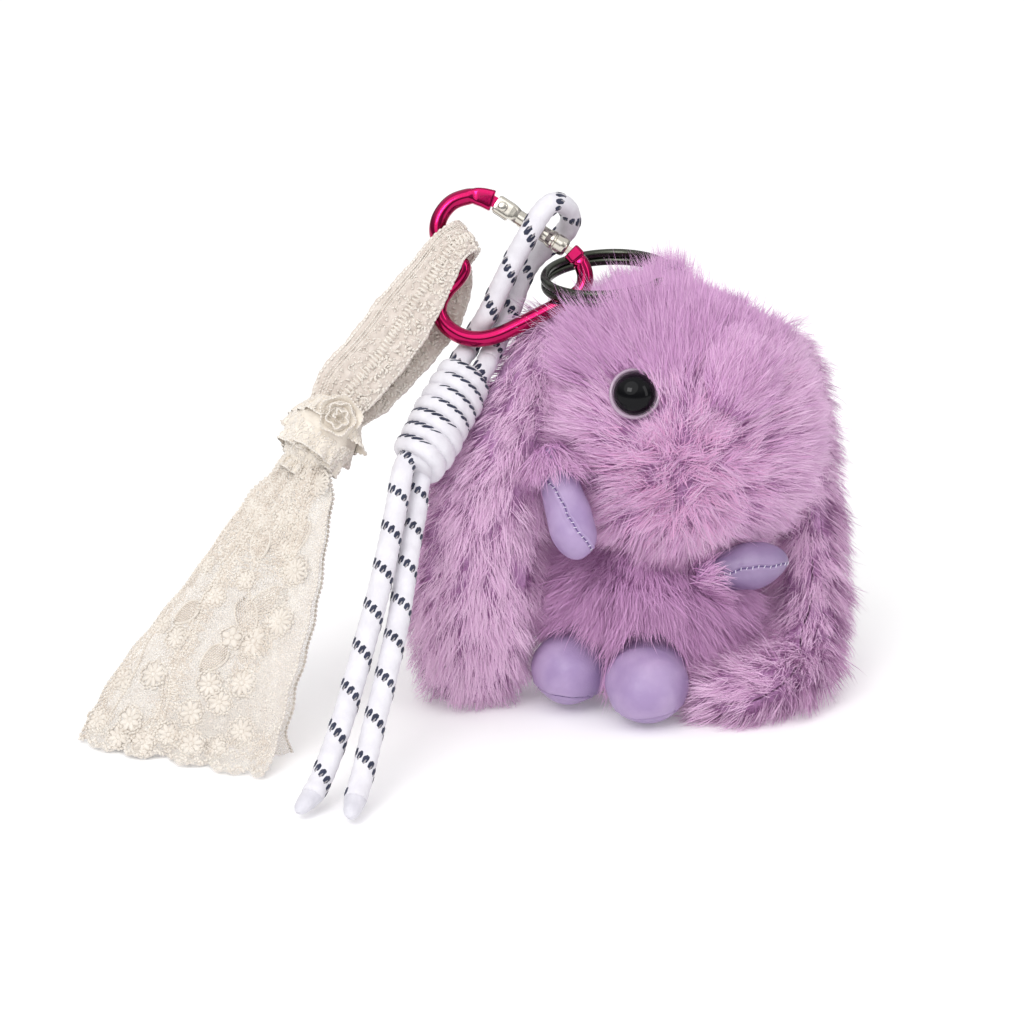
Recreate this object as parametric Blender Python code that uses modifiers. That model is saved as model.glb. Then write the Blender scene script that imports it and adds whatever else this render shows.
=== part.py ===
"""Plush keychain: a fluffy lop-eared rabbit with a split ring, a heart-shaped snap hook, a knotted
cord charm and a lace ribbon charm.

Frame: +Z up, the rabbit faces -Y, +X is to the right of a viewer who looks along +Y. The origin is
a point of the flat patch that the rabbit sits on. Lengths below are in millimetres; point() turns
them into metres.
"""

import math

import bmesh
import bpy
from mathutils import Matrix, Vector

# ---------------------------------------------------------------- driving dimensions, millimetres
GAP = 0.3  # clearance between pieces that touch

HEAD_CENTRE = (12.0, -6.0, 80.0)
HEAD_RADII = (38.0, 36.0, 38.5)
BODY_CENTRE = (2.0, -2.0, 26.0)
BODY_RADII = (27.0, 28.0, 31.0)
COVER_THICKNESS = 2.5  # fur fabric, backing and squashed pile
NECK_RADIUS = 12.0

EYE_RADIUS = 6.0
EYE_HEIGHT = 5.2
EYE_STEM_RADIUS = 2.0
EYE_STEM_LENGTH = 15.0
WASHER_RADIUS = 5.2
WASHER_THICKNESS = 1.2
WASHER_DEPTH = 12.6  # from the dome's flat back
EYE_RIM_RADIUS = 7.4
EYE_LEFT = (-2.4, -39.9, 98.4)  # the viewer's left
EYE_LEFT_LOOK = (0.05, -0.93, 0.36)
EYE_RIGHT = (27.1, -36.0, 99.2)  # lies flush under the pile
EYE_RIGHT_LOOK = (0.367, -0.81, 0.457)

LIMB_WALL = 0.9  # leatherette

RING_CENTRE = (-9.0, -4.0, 124.2)
RING_RADIUS = 18.9  # middle of the wire
RING_WIRE = 2.1
RING_PITCH = 2.3
RING_LEAN = 8.0  # degrees, front edge low
RING_ROLL = 4.0  # degrees, right edge high

HOOK_ORIGIN = (-51.0, -6.6, 129.6)  # the cleft of the heart
HOOK_LEAN = 17.0  # degrees, the heart leans back
HOOK_WIRE = 4.8
GATE_PIVOT = (10.8, 16.0)  # in the plane of the heart
GATE_ANGLE = -33.0
GATE_LENGTH = 22.3
GATE_BORE = 3.3
RIVET_DIAMETER = 1.8

CORD_DIAMETER = 7.0
CORD_KNOT_RADIUS = 9.0
CORD_KNOT_TOP = (-50.2, -15.8, 99.4)
CORD_KNOT_BOTTOM = (-66.0, -40.0, 75.0)
CORD_TIP_LENGTH = 8.0

LACE_HALF_WIDTH = 9.0
LACE_HALF_THICKNESS = 1.2

COLOURS = {
    "fur": ((0.60, 0.36, 0.62), 0.95, 0.0),
    "filling": ((0.86, 0.85, 0.83), 0.95, 0.0),
    "leatherette": ((0.46, 0.36, 0.68), 0.55, 0.0),
    "eye": ((0.005, 0.005, 0.006), 0.08, 0.0),
    "clear_plastic": ((0.72, 0.58, 0.66), 0.25, 0.0),
    "webbing": ((0.50, 0.32, 0.55), 0.85, 0.0),
    "gunmetal": ((0.05, 0.055, 0.05), 0.25, 1.0),
    "anodised": ((0.62, 0.0, 0.16), 0.25, 1.0),
    "nickel": ((0.70, 0.68, 0.62), 0.2, 1.0),
    "steel": ((0.55, 0.55, 0.56), 0.3, 1.0),
    "cord": ((0.85, 0.83, 0.88), 0.8, 0.0),
    "lace": ((0.86, 0.78, 0.70), 0.85, 0.0),
}


# ---------------------------------------------------------------- helpers
def point(x, y, z):
    """A place given in millimetres, as a vector in metres."""
    return Vector((x, y, z)) * 0.001


def metres(length):
    return length * 0.001


def clear_scene():
    for obj in list(bpy.data.objects):
        bpy.data.objects.remove(obj, do_unlink=True)


def collection(name):
    made = bpy.data.collections.new(name)
    bpy.context.scene.collection.children.link(made)
    return made


def paint(obj, colour):
    """Gives the object its own Principled material."""
    base, roughness, metallic = COLOURS[colour]
    made = bpy.data.materials.new(obj.name)
    made.use_nodes = True
    shader = made.node_tree.nodes["Principled BSDF"]
    shader.inputs["Base Color"].default_value = (*base, 1.0)
    shader.inputs["Roughness"].default_value = roughness
    shader.inputs["Metallic"].default_value = metallic
    obj.data.materials.clear()
    obj.data.materials.append(made)
    return obj


def smooth(mesh):
    mesh.shade_smooth()
    mesh.set_sharp_from_angle(angle=math.radians(40))


def add(name, data, colour=None, where=None):
    """Links an object; without a colour it is a helper, which is hidden."""
    obj = bpy.data.objects.new(name, data)
    if colour is None:
        CUTTERS.objects.link(obj)
        obj.hide_render = True
        obj.display_type = "WIRE"
    else:
        PARTS.objects.link(obj)
        paint(obj, colour)
    if where is not None:
        obj.matrix_world = where
    return obj


def from_bmesh(name, build, colour=None, where=None):
    mesh = bpy.data.meshes.new(name)
    build.to_mesh(mesh)
    build.free()
    smooth(mesh)
    return add(name, mesh, colour, where)


def ellipsoid(name, centre, radii, grow=0.0, colour=None, segments=26, rings=18):
    build = bmesh.new()
    bmesh.ops.create_uvsphere(build, u_segments=segments, v_segments=rings, radius=1.0)
    for vert in build.verts:
        for axis in range(3):
            vert.co[axis] *= metres(radii[axis] + grow)
    return from_bmesh(name, build, colour, Matrix.Translation(point(*centre)))


def block(name, size, where, colour=None):
    build = bmesh.new()
    bmesh.ops.create_cube(build, size=1.0)
    for vert in build.verts:
        for axis in range(3):
            vert.co[axis] *= metres(size[axis])
    return from_bmesh(name, build, colour, where)


def cylinder(name, radius, low, high, where, colour=None, segments=20):
    """A cylinder along local Z between two heights."""
    build = bmesh.new()
    bmesh.ops.create_cone(
        build, cap_ends=True, segments=segments, radius1=metres(radius), radius2=metres(radius),
        depth=metres(high - low),
        matrix=Matrix.Translation((0, 0, metres(high + low) / 2)),
    )
    return from_bmesh(name, build, colour, where)


def turned(name, profile, where, colour=None, closed=False, steps=24):
    """A profile of (radius, height) points, turned about local Z."""
    mesh = bpy.data.meshes.new(name)
    count = len(profile)
    edges = [(i, i + 1) for i in range(count - 1)]
    if closed:
        edges.append((count - 1, 0))
    mesh.from_pydata([(metres(r), 0, metres(z)) for r, z in profile], edges, [])
    obj = add(name, mesh, colour, where)
    screw = obj.modifiers.new("turn", "SCREW")
    screw.steps = screw.render_steps = steps
    screw.use_merge_vertices = True
    screw.merge_threshold = 0.00001
    return obj


def loft(name, stations, colour=None, section=None):
    """Skins closed sections. A station is (centre, half width vector, half thickness vector)."""
    if section is None:
        section = ring_section(16)
    build = bmesh.new()
    loops = []
    for centre, wide, thick in stations:
        loops.append([build.verts.new(centre + wide * a + thick * b) for a, b in section])
    for first, second in zip(loops, loops[1:]):
        for i in range(len(section)):
            j = (i + 1) % len(section)
            build.faces.new((first[i], first[j], second[j], second[i]))
    build.faces.new(reversed(loops[0]))
    build.faces.new(loops[-1])
    bmesh.ops.triangulate(build, faces=[face for face in build.faces if len(face.verts) > 4])
    bmesh.ops.recalc_face_normals(build, faces=build.faces)
    return from_bmesh(name, build, colour)


def ring_section(count):
    turns = [2 * math.pi * i / count for i in range(count)]
    return [(math.cos(t), math.sin(t)) for t in turns]


def half_section(count, side, gap):
    """Half of an ellipse on one side (+1 or -1) of its width, with a flat back."""
    turns = [math.pi * i / count for i in range(count + 1)]
    return [(math.cos(t), side * (gap + (1 - gap) * math.sin(t))) for t in turns]


def through(points, steps):
    """A smooth curve through points of any dimension, with so many steps between two of them."""
    knots = [Vector(p) for p in points]
    knots = [2 * knots[0] - knots[1], *knots, 2 * knots[-1] - knots[-2]]
    fine = []
    for a, b, c, d in zip(knots, knots[1:], knots[2:], knots[3:]):
        for step in range(steps):
            t = step / steps
            fine.append(
                0.5 * (2 * b + (c - a) * t + (2 * a - 5 * b + 4 * c - d) * t * t
                       + (3 * b - a - 3 * c + d) * t ** 3)
            )
    fine.append(knots[-2])
    return fine


def smooth_route(points, spacing):
    """Points at an even spacing on a smooth curve through the given ones, all in millimetres."""
    fine = through(points, 20)
    length = sum((q - p).length for p, q in zip(fine, fine[1:]))
    count = max(2, round(length / spacing))
    picked = [fine[0]]
    walked = 0.0
    for p, q in zip(fine, fine[1:]):
        walked += (q - p).length
        if walked >= length * len(picked) / count and len(picked) < count:
            picked.append(q)
    picked.append(fine[-1])
    return picked


def wire(name, points, diameter, colour=None, resolution=2, where=None):
    """A round wire or cord along points in millimetres."""
    curve = bpy.data.curves.new(name, "CURVE")
    curve.dimensions = "3D"
    curve.bevel_depth = metres(diameter / 2)
    curve.bevel_resolution = resolution
    curve.use_fill_caps = True
    spline = curve.splines.new("POLY")
    spline.points.add(len(points) - 1)
    for slot, place in zip(spline.points, points):
        slot.co = (*(Vector(place) * 0.001), 1.0)
    return add(name, curve, colour, where)


def as_mesh(obj, colour=None):
    """Replaces a curve by its mesh, so that it can be cut and joined."""
    name = obj.name
    where = obj.matrix_world.copy()
    graph = bpy.context.evaluated_depsgraph_get()
    mesh = bpy.data.meshes.new_from_object(obj.evaluated_get(graph))
    bpy.data.objects.remove(obj, do_unlink=True)
    build = bmesh.new()
    build.from_mesh(mesh)
    bmesh.ops.remove_doubles(build, verts=build.verts, dist=0.000001)
    bmesh.ops.recalc_face_normals(build, faces=build.faces)
    return from_bmesh(name, build, colour, where)


def combine(target, other, operation):
    change = target.modifiers.new(f"{operation} {other.name}".lower(), "BOOLEAN")
    change.operation = operation
    change.object = other


def cut(target, *cutters):
    for cutter in cutters:
        combine(target, cutter, "DIFFERENCE")


def facing(origin, direction, up="Y"):
    """A frame at origin (millimetres) whose local Z points along direction."""
    turn = Vector(direction).to_track_quat("Z", up)
    return Matrix.Translation(point(*origin)) @ turn.to_matrix().to_4x4()


# ---------------------------------------------------------------- the rabbit
def head_and_body():
    """Two fur covers with the filling inside each, open to each other at the neck."""
    inside = -COVER_THICKNESS
    head_space = ellipsoid("cut_head_space", HEAD_CENTRE, HEAD_RADII, inside)
    head_outside = ellipsoid("cut_head_outside", HEAD_CENTRE, HEAD_RADII, GAP)
    ellipsoid("cut_body_outside", BODY_CENTRE, BODY_RADII, GAP)
    body_space = ellipsoid("cut_body_space", BODY_CENTRE, BODY_RADII, inside)
    x, y, z = HEAD_CENTRE
    neck = cylinder("cut_neck", NECK_RADIUS, -HEAD_RADII[2] - 5, -HEAD_RADII[2] + 12,
                    Matrix.Translation(point(x - 2, y + 2, z)))
    under = block("cut_floor", (90, 90, 20), Matrix.Translation(point(2, -2, -10)))
    above_floor = block("cut_floor_inside", (90, 90, 20),
                        Matrix.Translation(point(2, -2, -10 + COVER_THICKNESS + GAP)))
    cut(body_space, block("cut_floor_space", (90, 90, 20),
                          Matrix.Translation(point(2, -2, -10 + COVER_THICKNESS))))

    head_cover = ellipsoid("head_cover", HEAD_CENTRE, HEAD_RADII, 0.0, "fur")
    cut(head_cover, head_space, neck)
    head_filling = ellipsoid("head_filling", HEAD_CENTRE, HEAD_RADII, inside - 2 * GAP, "filling", 20, 14)
    body_cover = ellipsoid("body_cover", BODY_CENTRE, BODY_RADII, 0.0, "fur")
    cut(body_cover, under, body_space, head_outside)
    body_filling = ellipsoid("body_filling", BODY_CENTRE, BODY_RADII, inside - 2 * GAP, "filling", 20, 14)
    cut(body_filling, above_floor, ellipsoid("cut_head_clear", HEAD_CENTRE, HEAD_RADII, 2 * GAP))
    return head_cover, head_filling


def eye(side, centre, look, head_cover, head_filling):
    """A safety eye: domed head with its stem, a pale rim behind it, and the lock washer inside."""
    where = facing(centre, look)
    dome = [(EYE_RADIUS * math.sin(t), 0.8 + (EYE_HEIGHT - 0.8) * math.cos(t))
            for t in [math.pi / 2 * i / 7 for i in range(8)]]
    stem = [(EYE_RADIUS, 0.0), (EYE_STEM_RADIUS, 0.0), (EYE_STEM_RADIUS, -EYE_STEM_LENGTH),
            (0.0, -EYE_STEM_LENGTH)]
    turned(f"eye_{side}", dome + stem, where, "eye")
    hole = EYE_STEM_RADIUS + GAP
    turned(f"eye_{side}_rim",
           [(EYE_RIM_RADIUS - 0.9, 0.9), (EYE_RIM_RADIUS, 0.4), (EYE_RIM_RADIUS, -0.9),
            (EYE_RIM_RADIUS - 0.6, -1.4), (hole, -1.4), (hole, -GAP),
            (EYE_RADIUS + GAP, -GAP), (EYE_RADIUS + GAP, 0.9)],
           where, "clear_plastic", closed=True)
    front, back = -WASHER_DEPTH, -WASHER_DEPTH - WASHER_THICKNESS
    turned(f"eye_{side}_washer", [(WASHER_RADIUS, front), (WASHER_RADIUS, back), (hole, back), (hole, front)],
           where, "steel", closed=True, steps=20)
    depth = -EYE_STEM_LENGTH - 2
    cut(head_cover, cylinder(f"cut_stem_{side}", hole, depth, 2, where))
    cut(head_filling, cylinder(f"cut_washer_{side}", WASHER_RADIUS + 0.8, depth, 4, where))


EAR_LEFT = [
    # centre, half width (X), half thickness (Y): horizontal sections from the root down
    ((-25.5, -5.0, 112.0), 3.5, 4.0),
    ((-26.0, -5.0, 110.0), 6.5, 6.5),
    ((-29.5, -7.0, 101.0), 8.5, 8.5),
    ((-34.0, -12.0, 90.0), 11.0, 10.5),
    ((-40.5, -18.0, 76.0), 13.0, 11.0),
    ((-46.0, -23.0, 60.0), 15.5, 11.5),
    ((-48.5, -25.0, 42.0), 16.5, 12.0),
    ((-49.0, -25.5, 25.0), 15.5, 12.0),
    ((-49.0, -25.5, 11.0), 12.0, 9.5),
    ((-49.0, -25.5, 3.5), 7.0, 5.5),
    ((-49.0, -25.5, 0.6), 3.0, 2.5),
]
EAR_RIGHT = [
    # centre, half width, half thickness, width direction: sections square to the ear's own run
    ((41.5, 20.0, 102.0), 4.5, 2.5, (0, 1, 0)),
    ((43.0, 20.0, 99.0), 8.0, 4.5, (0, 1, 0)),
    ((47.0, 20.0, 88.0), 11.0, 6.0, (0, 1, 0)),
    ((50.5, 15.0, 70.0), 12.5, 6.5, (0, 1, 0)),
    ((52.0, 8.0, 52.0), 12.5, 7.0, (0, 1, 0)),
    ((52.5, 0.0, 36.0), 12.0, 7.5, (0, 1, 0)),
    ((51.5, -11.0, 22.5), 10.5, 8.0, (0, 1, -0.3)),
    ((48.5, -23.0, 13.5), 9.0, 8.5, (0, 0.6, -1)),
    ((42.0, -32.5, 9.8), 9.0, 8.2, (-0.4, 0.9, -0.6)),
    ((34.0, -38.0, 8.6), 9.5, 7.6, (-0.5, 1, -0.15)),
    ((27.0, -40.5, 7.6), 9.0, 7.0, (-0.3, 1, 0)),
    ((21.5, -41.5, 7.2), 6.0, 5.0, (0, 1, 0)),
    ((19.2, -41.8, 7.0), 2.5, 2.2, (0, 1, 0)),
]


def ear_stations(rows, steps, level):
    """Stations for loft(): level sections, or sections square to the ear's own run."""
    places = through([row[0] for row in rows], steps)
    sizes = through([(row[1], row[2]) for row in rows], steps)
    widths = through([(1, 0, 0) if level else row[3] for row in rows], steps)
    stations = []
    for i, (centre, (half, thin), wide) in enumerate(zip(places, sizes, widths)):
        run = (places[min(i + 1, len(places) - 1)] - places[max(i - 1, 0)]).normalized()
        if level:
            run = Vector((0, 0, -1))
        wide = (wide - run * wide.dot(run)).normalized()
        thick = wide.cross(run) if level else run.cross(wide)
        stations.append((point(*centre), wide * metres(half), thick * metres(thin)))
    return stations


def ears():
    """Each ear is a front and a back panel of fur, sewn together along the edge."""
    left = ear_stations(EAR_LEFT, 2, True)
    right = ear_stations(EAR_RIGHT, 3, False)
    for side, stations in (("left", left), ("right", right)):
        for face, sign in (("back", 1), ("front", -1)):
            panel = loft(f"ear_{side}_{face}_panel", stations, "fur", half_section(7, sign, 0.03))
            cut(panel, bpy.data.objects["cut_head_outside"], bpy.data.objects["cut_body_outside"])


def limb(name, root, tip, radii, flatten=1.0, around=()):
    """A leatherette pouch open at its root, and its filling. radii are (share of length, radius)."""
    start, end = Vector(root), Vector(tip)
    length = (end - start).length
    where = facing(root, end - start) @ Matrix.Diagonal((1.0, flatten, 1.0, 1.0))

    def profile(inset, foot):
        rows = [(max(radius - inset, 0.0), foot + (length - inset - foot) * share)
                for share, radius in radii]
        return rows

    outer = profile(0.0, 0.0)
    inner = profile(LIMB_WALL, 0.0)
    filling = profile(LIMB_WALL + GAP, 0.6)
    cover = turned(f"{name}_cover", outer + inner[::-1], where, "leatherette")
    fill = turned(f"{name}_filling", filling + [(0.0, 0.6)], where, "filling")
    cut(cover, *around)
    cut(fill, *around)


def rounded(full, tip_share, root_radius):
    """(share, radius) rows of a limb with a round tip, from the tip's pole to the root."""
    rows = []
    for i in range(7):
        turn = math.pi / 2 * i / 6
        rows.append((1.0 - tip_share * (1 - math.cos(turn)), full * math.sin(turn)))
    rows.append((0.25, (full + root_radius) / 2))
    rows.append((0.0, root_radius))
    return rows


def limbs():
    """Arms sewn on at the neck, feet sewn on at the front of the body."""
    around = (bpy.data.objects["cut_head_outside"], bpy.data.objects["cut_body_outside"])
    limb("arm_left", (-25.5, -31.0, 76.0), (-17.5, -46.5, 51.0), rounded(6.7, 0.28, 5.2),
         1.0, around)
    limb("arm_right", (21.0, -30.0, 41.0), (43.5, -32.5, 46.5), rounded(6.9, 0.50, 5.6),
         1.0, around)
    limb("foot_left", (-16.5, -14.0, 14.5), (-23.0, -44.5, 11.0), rounded(11.3, 0.42, 9.5),
         0.93, around)
    limb("foot_right", (3.5, -22.0, 13.2), (1.0, -59.5, 11.4), rounded(12.3, 0.40, 10.0),
         0.90, around)


# ---------------------------------------------------------------- ring and its loop
def ring_frame():
    lean = Matrix.Rotation(math.radians(RING_LEAN), 4, "X")
    roll = Matrix.Rotation(math.radians(-RING_ROLL), 4, "Y")
    return Matrix.Translation(point(*RING_CENTRE)) @ roll @ lean


def split_ring():
    """Two turns of spring wire, one on the other."""
    per_turn = 36
    points = []
    for i in range(2 * per_turn + 1):
        turn = 2 * math.pi * i / per_turn
        height = RING_PITCH * (i / per_turn - 1.0)
        points.append((RING_RADIUS * math.cos(turn), RING_RADIUS * math.sin(turn), height))
    half_turn = Matrix.Rotation(math.radians(60), 4, "Z")
    wire("key_ring", points, RING_WIRE, "gunmetal", where=ring_frame() @ half_turn)


def hanging_loop():
    """A webbing loop sewn into the crown of the head, round the ring's right side."""
    middle = ring_frame() @ point(RING_RADIUS, 0, 0)
    inner_half, wall, width = 3.1, 1.0, 8.0
    top = middle.z * 1000 + inner_half + RING_WIRE * 0.8
    bottom = HEAD_CENTRE[2] + HEAD_RADII[2] + GAP + wall
    outline = bpy.data.curves.new("hanging_loop", "CURVE")
    outline.dimensions = "2D"
    outline.fill_mode = "BOTH"
    outline.extrude = metres(width / 2)
    for grow in (wall, 0.0):
        half = inner_half + grow
        arc = [math.pi * i / 12 for i in range(13)]
        upper = [(half * math.cos(t), top - inner_half + half * math.sin(t)) for t in arc]
        lower = [(-half, bottom - grow), (half, bottom - grow)]
        spline = outline.splines.new("POLY")
        spline.points.add(len(upper + lower) - 1)
        for slot, (across, up) in zip(spline.points, upper + lower):
            slot.co = (metres(across), metres(up), 0.0, 1.0)
        spline.use_cyclic_u = True
    upright = Matrix.Translation((middle.x, middle.y, 0)) @ Matrix.Rotation(math.pi / 2, 4, "X")
    as_mesh(add("hanging_loop", outline, "webbing", upright), "webbing")


# ---------------------------------------------------------------- heart-shaped snap hook
HEART = [
    # centre line of the wire in the plane of the heart, from the hinge end round to the nose
    (7.9, 17.9), (4.4, 19.0), (0.7, 19.2), (-4.2, 17.4), (-7.6, 13.2), (-8.4, 8.4), (-6.4, 4.2),
    (-3.0, 1.0), (-0.9, -1.6), (-2.4, -4.8), (-5.4, -8.0), (-7.6, -11.6), (-7.8, -15.4),
    (-5.4, -19.2), (-1.0, -21.9), (4.0, -22.6), (9.6, -21.4), (16.0, -18.4), (21.4, -15.7),
    (26.4, -13.1), (31.2, -10.5), (34.2, -7.8), (35.0, -4.4), (34.1, -1.0), (32.2, 1.6), (30.6, 3.2),
]


def hook_frame():
    """Local X runs along the heart, local Y up it, local Z out of it towards the viewer."""
    lean = Matrix.Rotation(math.radians(90 - HOOK_LEAN), 4, "X")
    return Matrix.Translation(point(*HOOK_ORIGIN)) @ lean


def gate_frame():
    """At the rivet, with local X along the gate."""
    across, up = GATE_PIVOT
    turn = Matrix.Rotation(math.radians(GATE_ANGLE), 4, "Z")
    return hook_frame() @ Matrix.Translation(point(across, up, 0)) @ turn


def along_gate(where):
    """The same frame with its local Z along the gate."""
    return where @ Matrix.Rotation(math.pi / 2, 4, "Y")


def snap_hook():
    flat = smooth_route([(across, up, 0.0) for across, up in HEART], 1.9)
    body = as_mesh(wire("carabiner_body", flat, HOOK_WIRE, "anodised", 3, hook_frame()), "anodised")
    pivot = gate_frame()
    tang = block("join_tang", (6.0, 3.2, 1.5), pivot @ Matrix.Translation(point(-1.5, 0, 0)))
    combine(body, tang, "UNION")
    nose_slot = block("cut_nose_slot", (4.6, 12.0, 2.1), pivot @ Matrix.Translation(point(24.2, 0, 0)))
    rivet_hole = cylinder("cut_rivet", RIVET_DIAMETER / 2 + GAP, -6, 6, pivot)
    cut(body, nose_slot, rivet_hole)

    tube = along_gate(pivot)
    radius = HOOK_WIRE / 2
    gate = cylinder("gate", radius, -1.9, GATE_LENGTH, tube, "nickel", 24)
    latch = block("join_latch", (5.0, 2.4, 1.3), pivot @ Matrix.Translation(point(23.2, 0, 0)))
    combine(gate, latch, "UNION")
    bore = cylinder("cut_gate_bore", GATE_BORE / 2, -6, 17, tube)
    fork = block("cut_gate_fork", (9.0, 12.0, 2.1), pivot @ Matrix.Translation(point(-1.9, 0, 0)))
    cut(gate, bore, fork, rivet_hole)

    head, shank = 1.5, RIVET_DIAMETER / 2
    turned("gate_rivet", [(0, 3.1), (head, 2.9), (head, 2.6), (shank, 2.6), (shank, -2.6),
                          (head, -2.6), (head, -2.9), (0, -3.1)], pivot, "steel", steps=20)
    turned("gate_plunger", [(0, 5.9), (1.3, 5.7), (1.3, 3.2), (0, 3.0)], tube, "steel", steps=16)
    turns, per_turn, low, high = 6, 10, 6.6, 16.2
    coil = []
    for i in range(turns * per_turn + 1):
        angle = 2 * math.pi * i / per_turn
        share = i / (turns * per_turn)
        coil.append((1.15 * math.cos(angle), 1.15 * math.sin(angle), low + (high - low) * share))
    wire("gate_spring", coil, 0.45, "steel", 1, tube)


# ---------------------------------------------------------------- knotted cord
CORD_BIGHT = [
    (-52.5, -12.8, 101.8), (-50.9, -8.2, 103.0), (-48.0, -6.0, 108.2), (-44.5, -7.6, 114.5),
    (-40.6, -8.4, 123.0), (-36.4, -9.6, 131.8), (-32.3, -10.9, 139.5), (-28.5, -9.4, 145.4),
    (-24.7, -6.0, 147.3), (-21.1, -1.6, 144.5), (-20.4, 2.2, 139.4), (-23.2, 3.8, 134.8),
    (-27.8, 3.2, 131.6), (-32.2, 1.2, 127.6), (-35.3, -0.8, 122.0), (-37.2, -2.4, 116.4),
    (-39.8, -4.2, 110.0), (-42.8, -7.4, 104.0), (-44.6, -11.4, 101.2), (-45.4, -14.6, 100.0),
]
CORD_TAIL_LEFT = [
    (-68.7, -42.5, 76.9), (-70.1, -49.8, 70.2), (-72.0, -60.3, 61.4), (-74.8, -71.6, 50.1),
    (-78.2, -82.0, 39.0), (-81.6, -91.6, 28.4), (-84.4, -99.2, 20.4), (-87.4, -105.4, 12.8),
    (-89.8, -110.0, 7.8), (-91.9, -113.6, 4.9),
]
CORD_TAIL_RIGHT = [
    (-64.5, -39.6, 70.9), (-65.2, -47.0, 64.6), (-66.6, -55.4, 58.2), (-69.1, -72.6, 43.2),
    (-71.0, -83.0, 35.6), (-73.2, -92.0, 27.6), (-75.5, -100.0, 20.0), (-77.4, -107.2, 12.6),
    (-78.9, -112.6, 7.8), (-80.0, -116.4, 4.9),
]


def cord():
    """One cord: a bight over the gate, a barrel of wrapped turns, and two tails with sealed tips."""
    spacing = 2.3 * CORD_DIAMETER / 2
    wire("cord_loop", smooth_route(CORD_BIGHT, spacing), CORD_DIAMETER, "cord")
    top, bottom = Vector(CORD_KNOT_TOP), Vector(CORD_KNOT_BOTTOM)
    length = (bottom - top).length
    full, edge = CORD_KNOT_RADIUS, CORD_KNOT_RADIUS - 1.8
    turned("cord_knot", [(0, length), (edge, length), (full, length - 2.2), (full, 2.2), (edge, 0), (0, 0)],
           facing(CORD_KNOT_TOP, bottom - top), "cord")
    for side, route in (("left", CORD_TAIL_LEFT), ("right", CORD_TAIL_RIGHT)):
        wire(f"cord_tail_{side}", smooth_route(route, spacing), CORD_DIAMETER, "cord")
        end, before = Vector(route[-1]), Vector(route[-2])
        run = (end - before).normalized()
        run = (run + Vector((0, 0, 0.28))).normalized()
        radius = CORD_DIAMETER / 2 - 0.2
        turned(f"cord_tip_{side}",
               [(0, CORD_TIP_LENGTH), (1.5, CORD_TIP_LENGTH - 0.4), (radius, 2.0), (radius, 1.0), (0, 1.0)],
               facing(end, run), "cord", steps=16)


# ---------------------------------------------------------------- lace ribbon
LACE_RUN = [
    # the band's middle, from the knot up the front, over the wire and down behind it
    (-86.0, -30.5, 97.0), (-78.0, -24.5, 105.0), (-69.5, -18.6, 115.5), (-61.5, -13.6, 126.5),
    (-56.4, -10.4, 134.2), (-52.4, -7.6, 137.0), (-50.6, -4.4, 136.6), (-52.6, -1.6, 133.6),
    (-56.0, -0.6, 129.5), (-57.0, -0.8, 123.0), (-61.0, -4.6, 114.0), (-69.5, -12.6, 104.8),
    (-78.5, -20.0, 96.8),
]
LACE_ACROSS_STRAND = (0.80, 0.0, -0.60)
LACE_ACROSS_WIRE = (0.59, -0.24, -0.77)
LACE_HALF_WIDTH_ON_WIRE = 5.2
LACE_TAIL = [
    # centre, half width, half thickness: level sections from the knot to the hem
    ((-98.5, -39.0, 73.5), 9.5, 4.5),
    ((-101.0, -42.0, 69.0), 13.0, 5.0),
    ((-105.5, -47.0, 59.0), 16.0, 5.5),
    ((-111.5, -53.5, 46.0), 20.5, 6.2),
    ((-118.5, -60.0, 33.0), 25.0, 7.0),
    ((-125.5, -65.5, 21.0), 28.5, 7.8),
    ((-130.5, -69.5, 9.0), 31.0, 8.4),
    ((-133.0, -72.0, 0.4), 32.5, 8.6),
]
LACE_TAIL_ACROSS = (0.94, -0.34, 0.0)


def lace():
    """A ribbon of lace: a band hitched over the wire of the heart, a gathered knot and a flared tail."""
    run = [Vector(p) for p in smooth_route(LACE_RUN, 5.0)]
    highest = max(centre.z for centre in run)
    stations = []
    for i, centre in enumerate(run):
        step = (run[min(i + 1, len(run) - 1)] - run[max(i - 1, 0)]).normalized()
        below = min((highest - centre.z) / 22.0, 1.0)
        across = Vector(LACE_ACROSS_WIRE).lerp(Vector(LACE_ACROSS_STRAND), below)
        half = LACE_HALF_WIDTH_ON_WIRE + (LACE_HALF_WIDTH - LACE_HALF_WIDTH_ON_WIRE) * below
        wide = (across - step * across.dot(step)).normalized()
        thick = step.cross(wide)
        stations.append((point(*centre), wide * metres(half), thick * metres(LACE_HALF_THICKNESS)))
    loft("lace_loop", stations, "lace", ring_section(12))

    knot = ellipsoid("lace_knot", (0, 0, 0), (11.0, 8.5, 12.0), 0.0, "lace", 18, 12)
    knot.matrix_world = facing((-92.0, -32.5, 85.0), (-38, -24, -52), "X")

    wide = Vector(LACE_TAIL_ACROSS)
    thick = Vector((-wide.y, wide.x, 0))
    loft("lace_tail", [(point(*c), wide * metres(w), thick * metres(t)) for c, w, t in LACE_TAIL],
         "lace", ring_section(20))
    cut(bpy.data.objects["lace_tail"], grown_copy(knot, "cut_lace_knot"))
    cut(bpy.data.objects["lace_loop"], bpy.data.objects["cut_lace_knot"])


def grown_copy(obj, name):
    """A hidden copy of an ellipsoid, larger by the gap all round."""
    made = add(name, obj.data.copy(), None, obj.matrix_world.copy())
    for vert in made.data.vertices:
        vert.co *= 1.0 + metres(GAP) / vert.co.length
    return made


# ---------------------------------------------------------------- assembly
clear_scene()
PARTS = collection("plush_keychain")
CUTTERS = collection("cutters")

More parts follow.
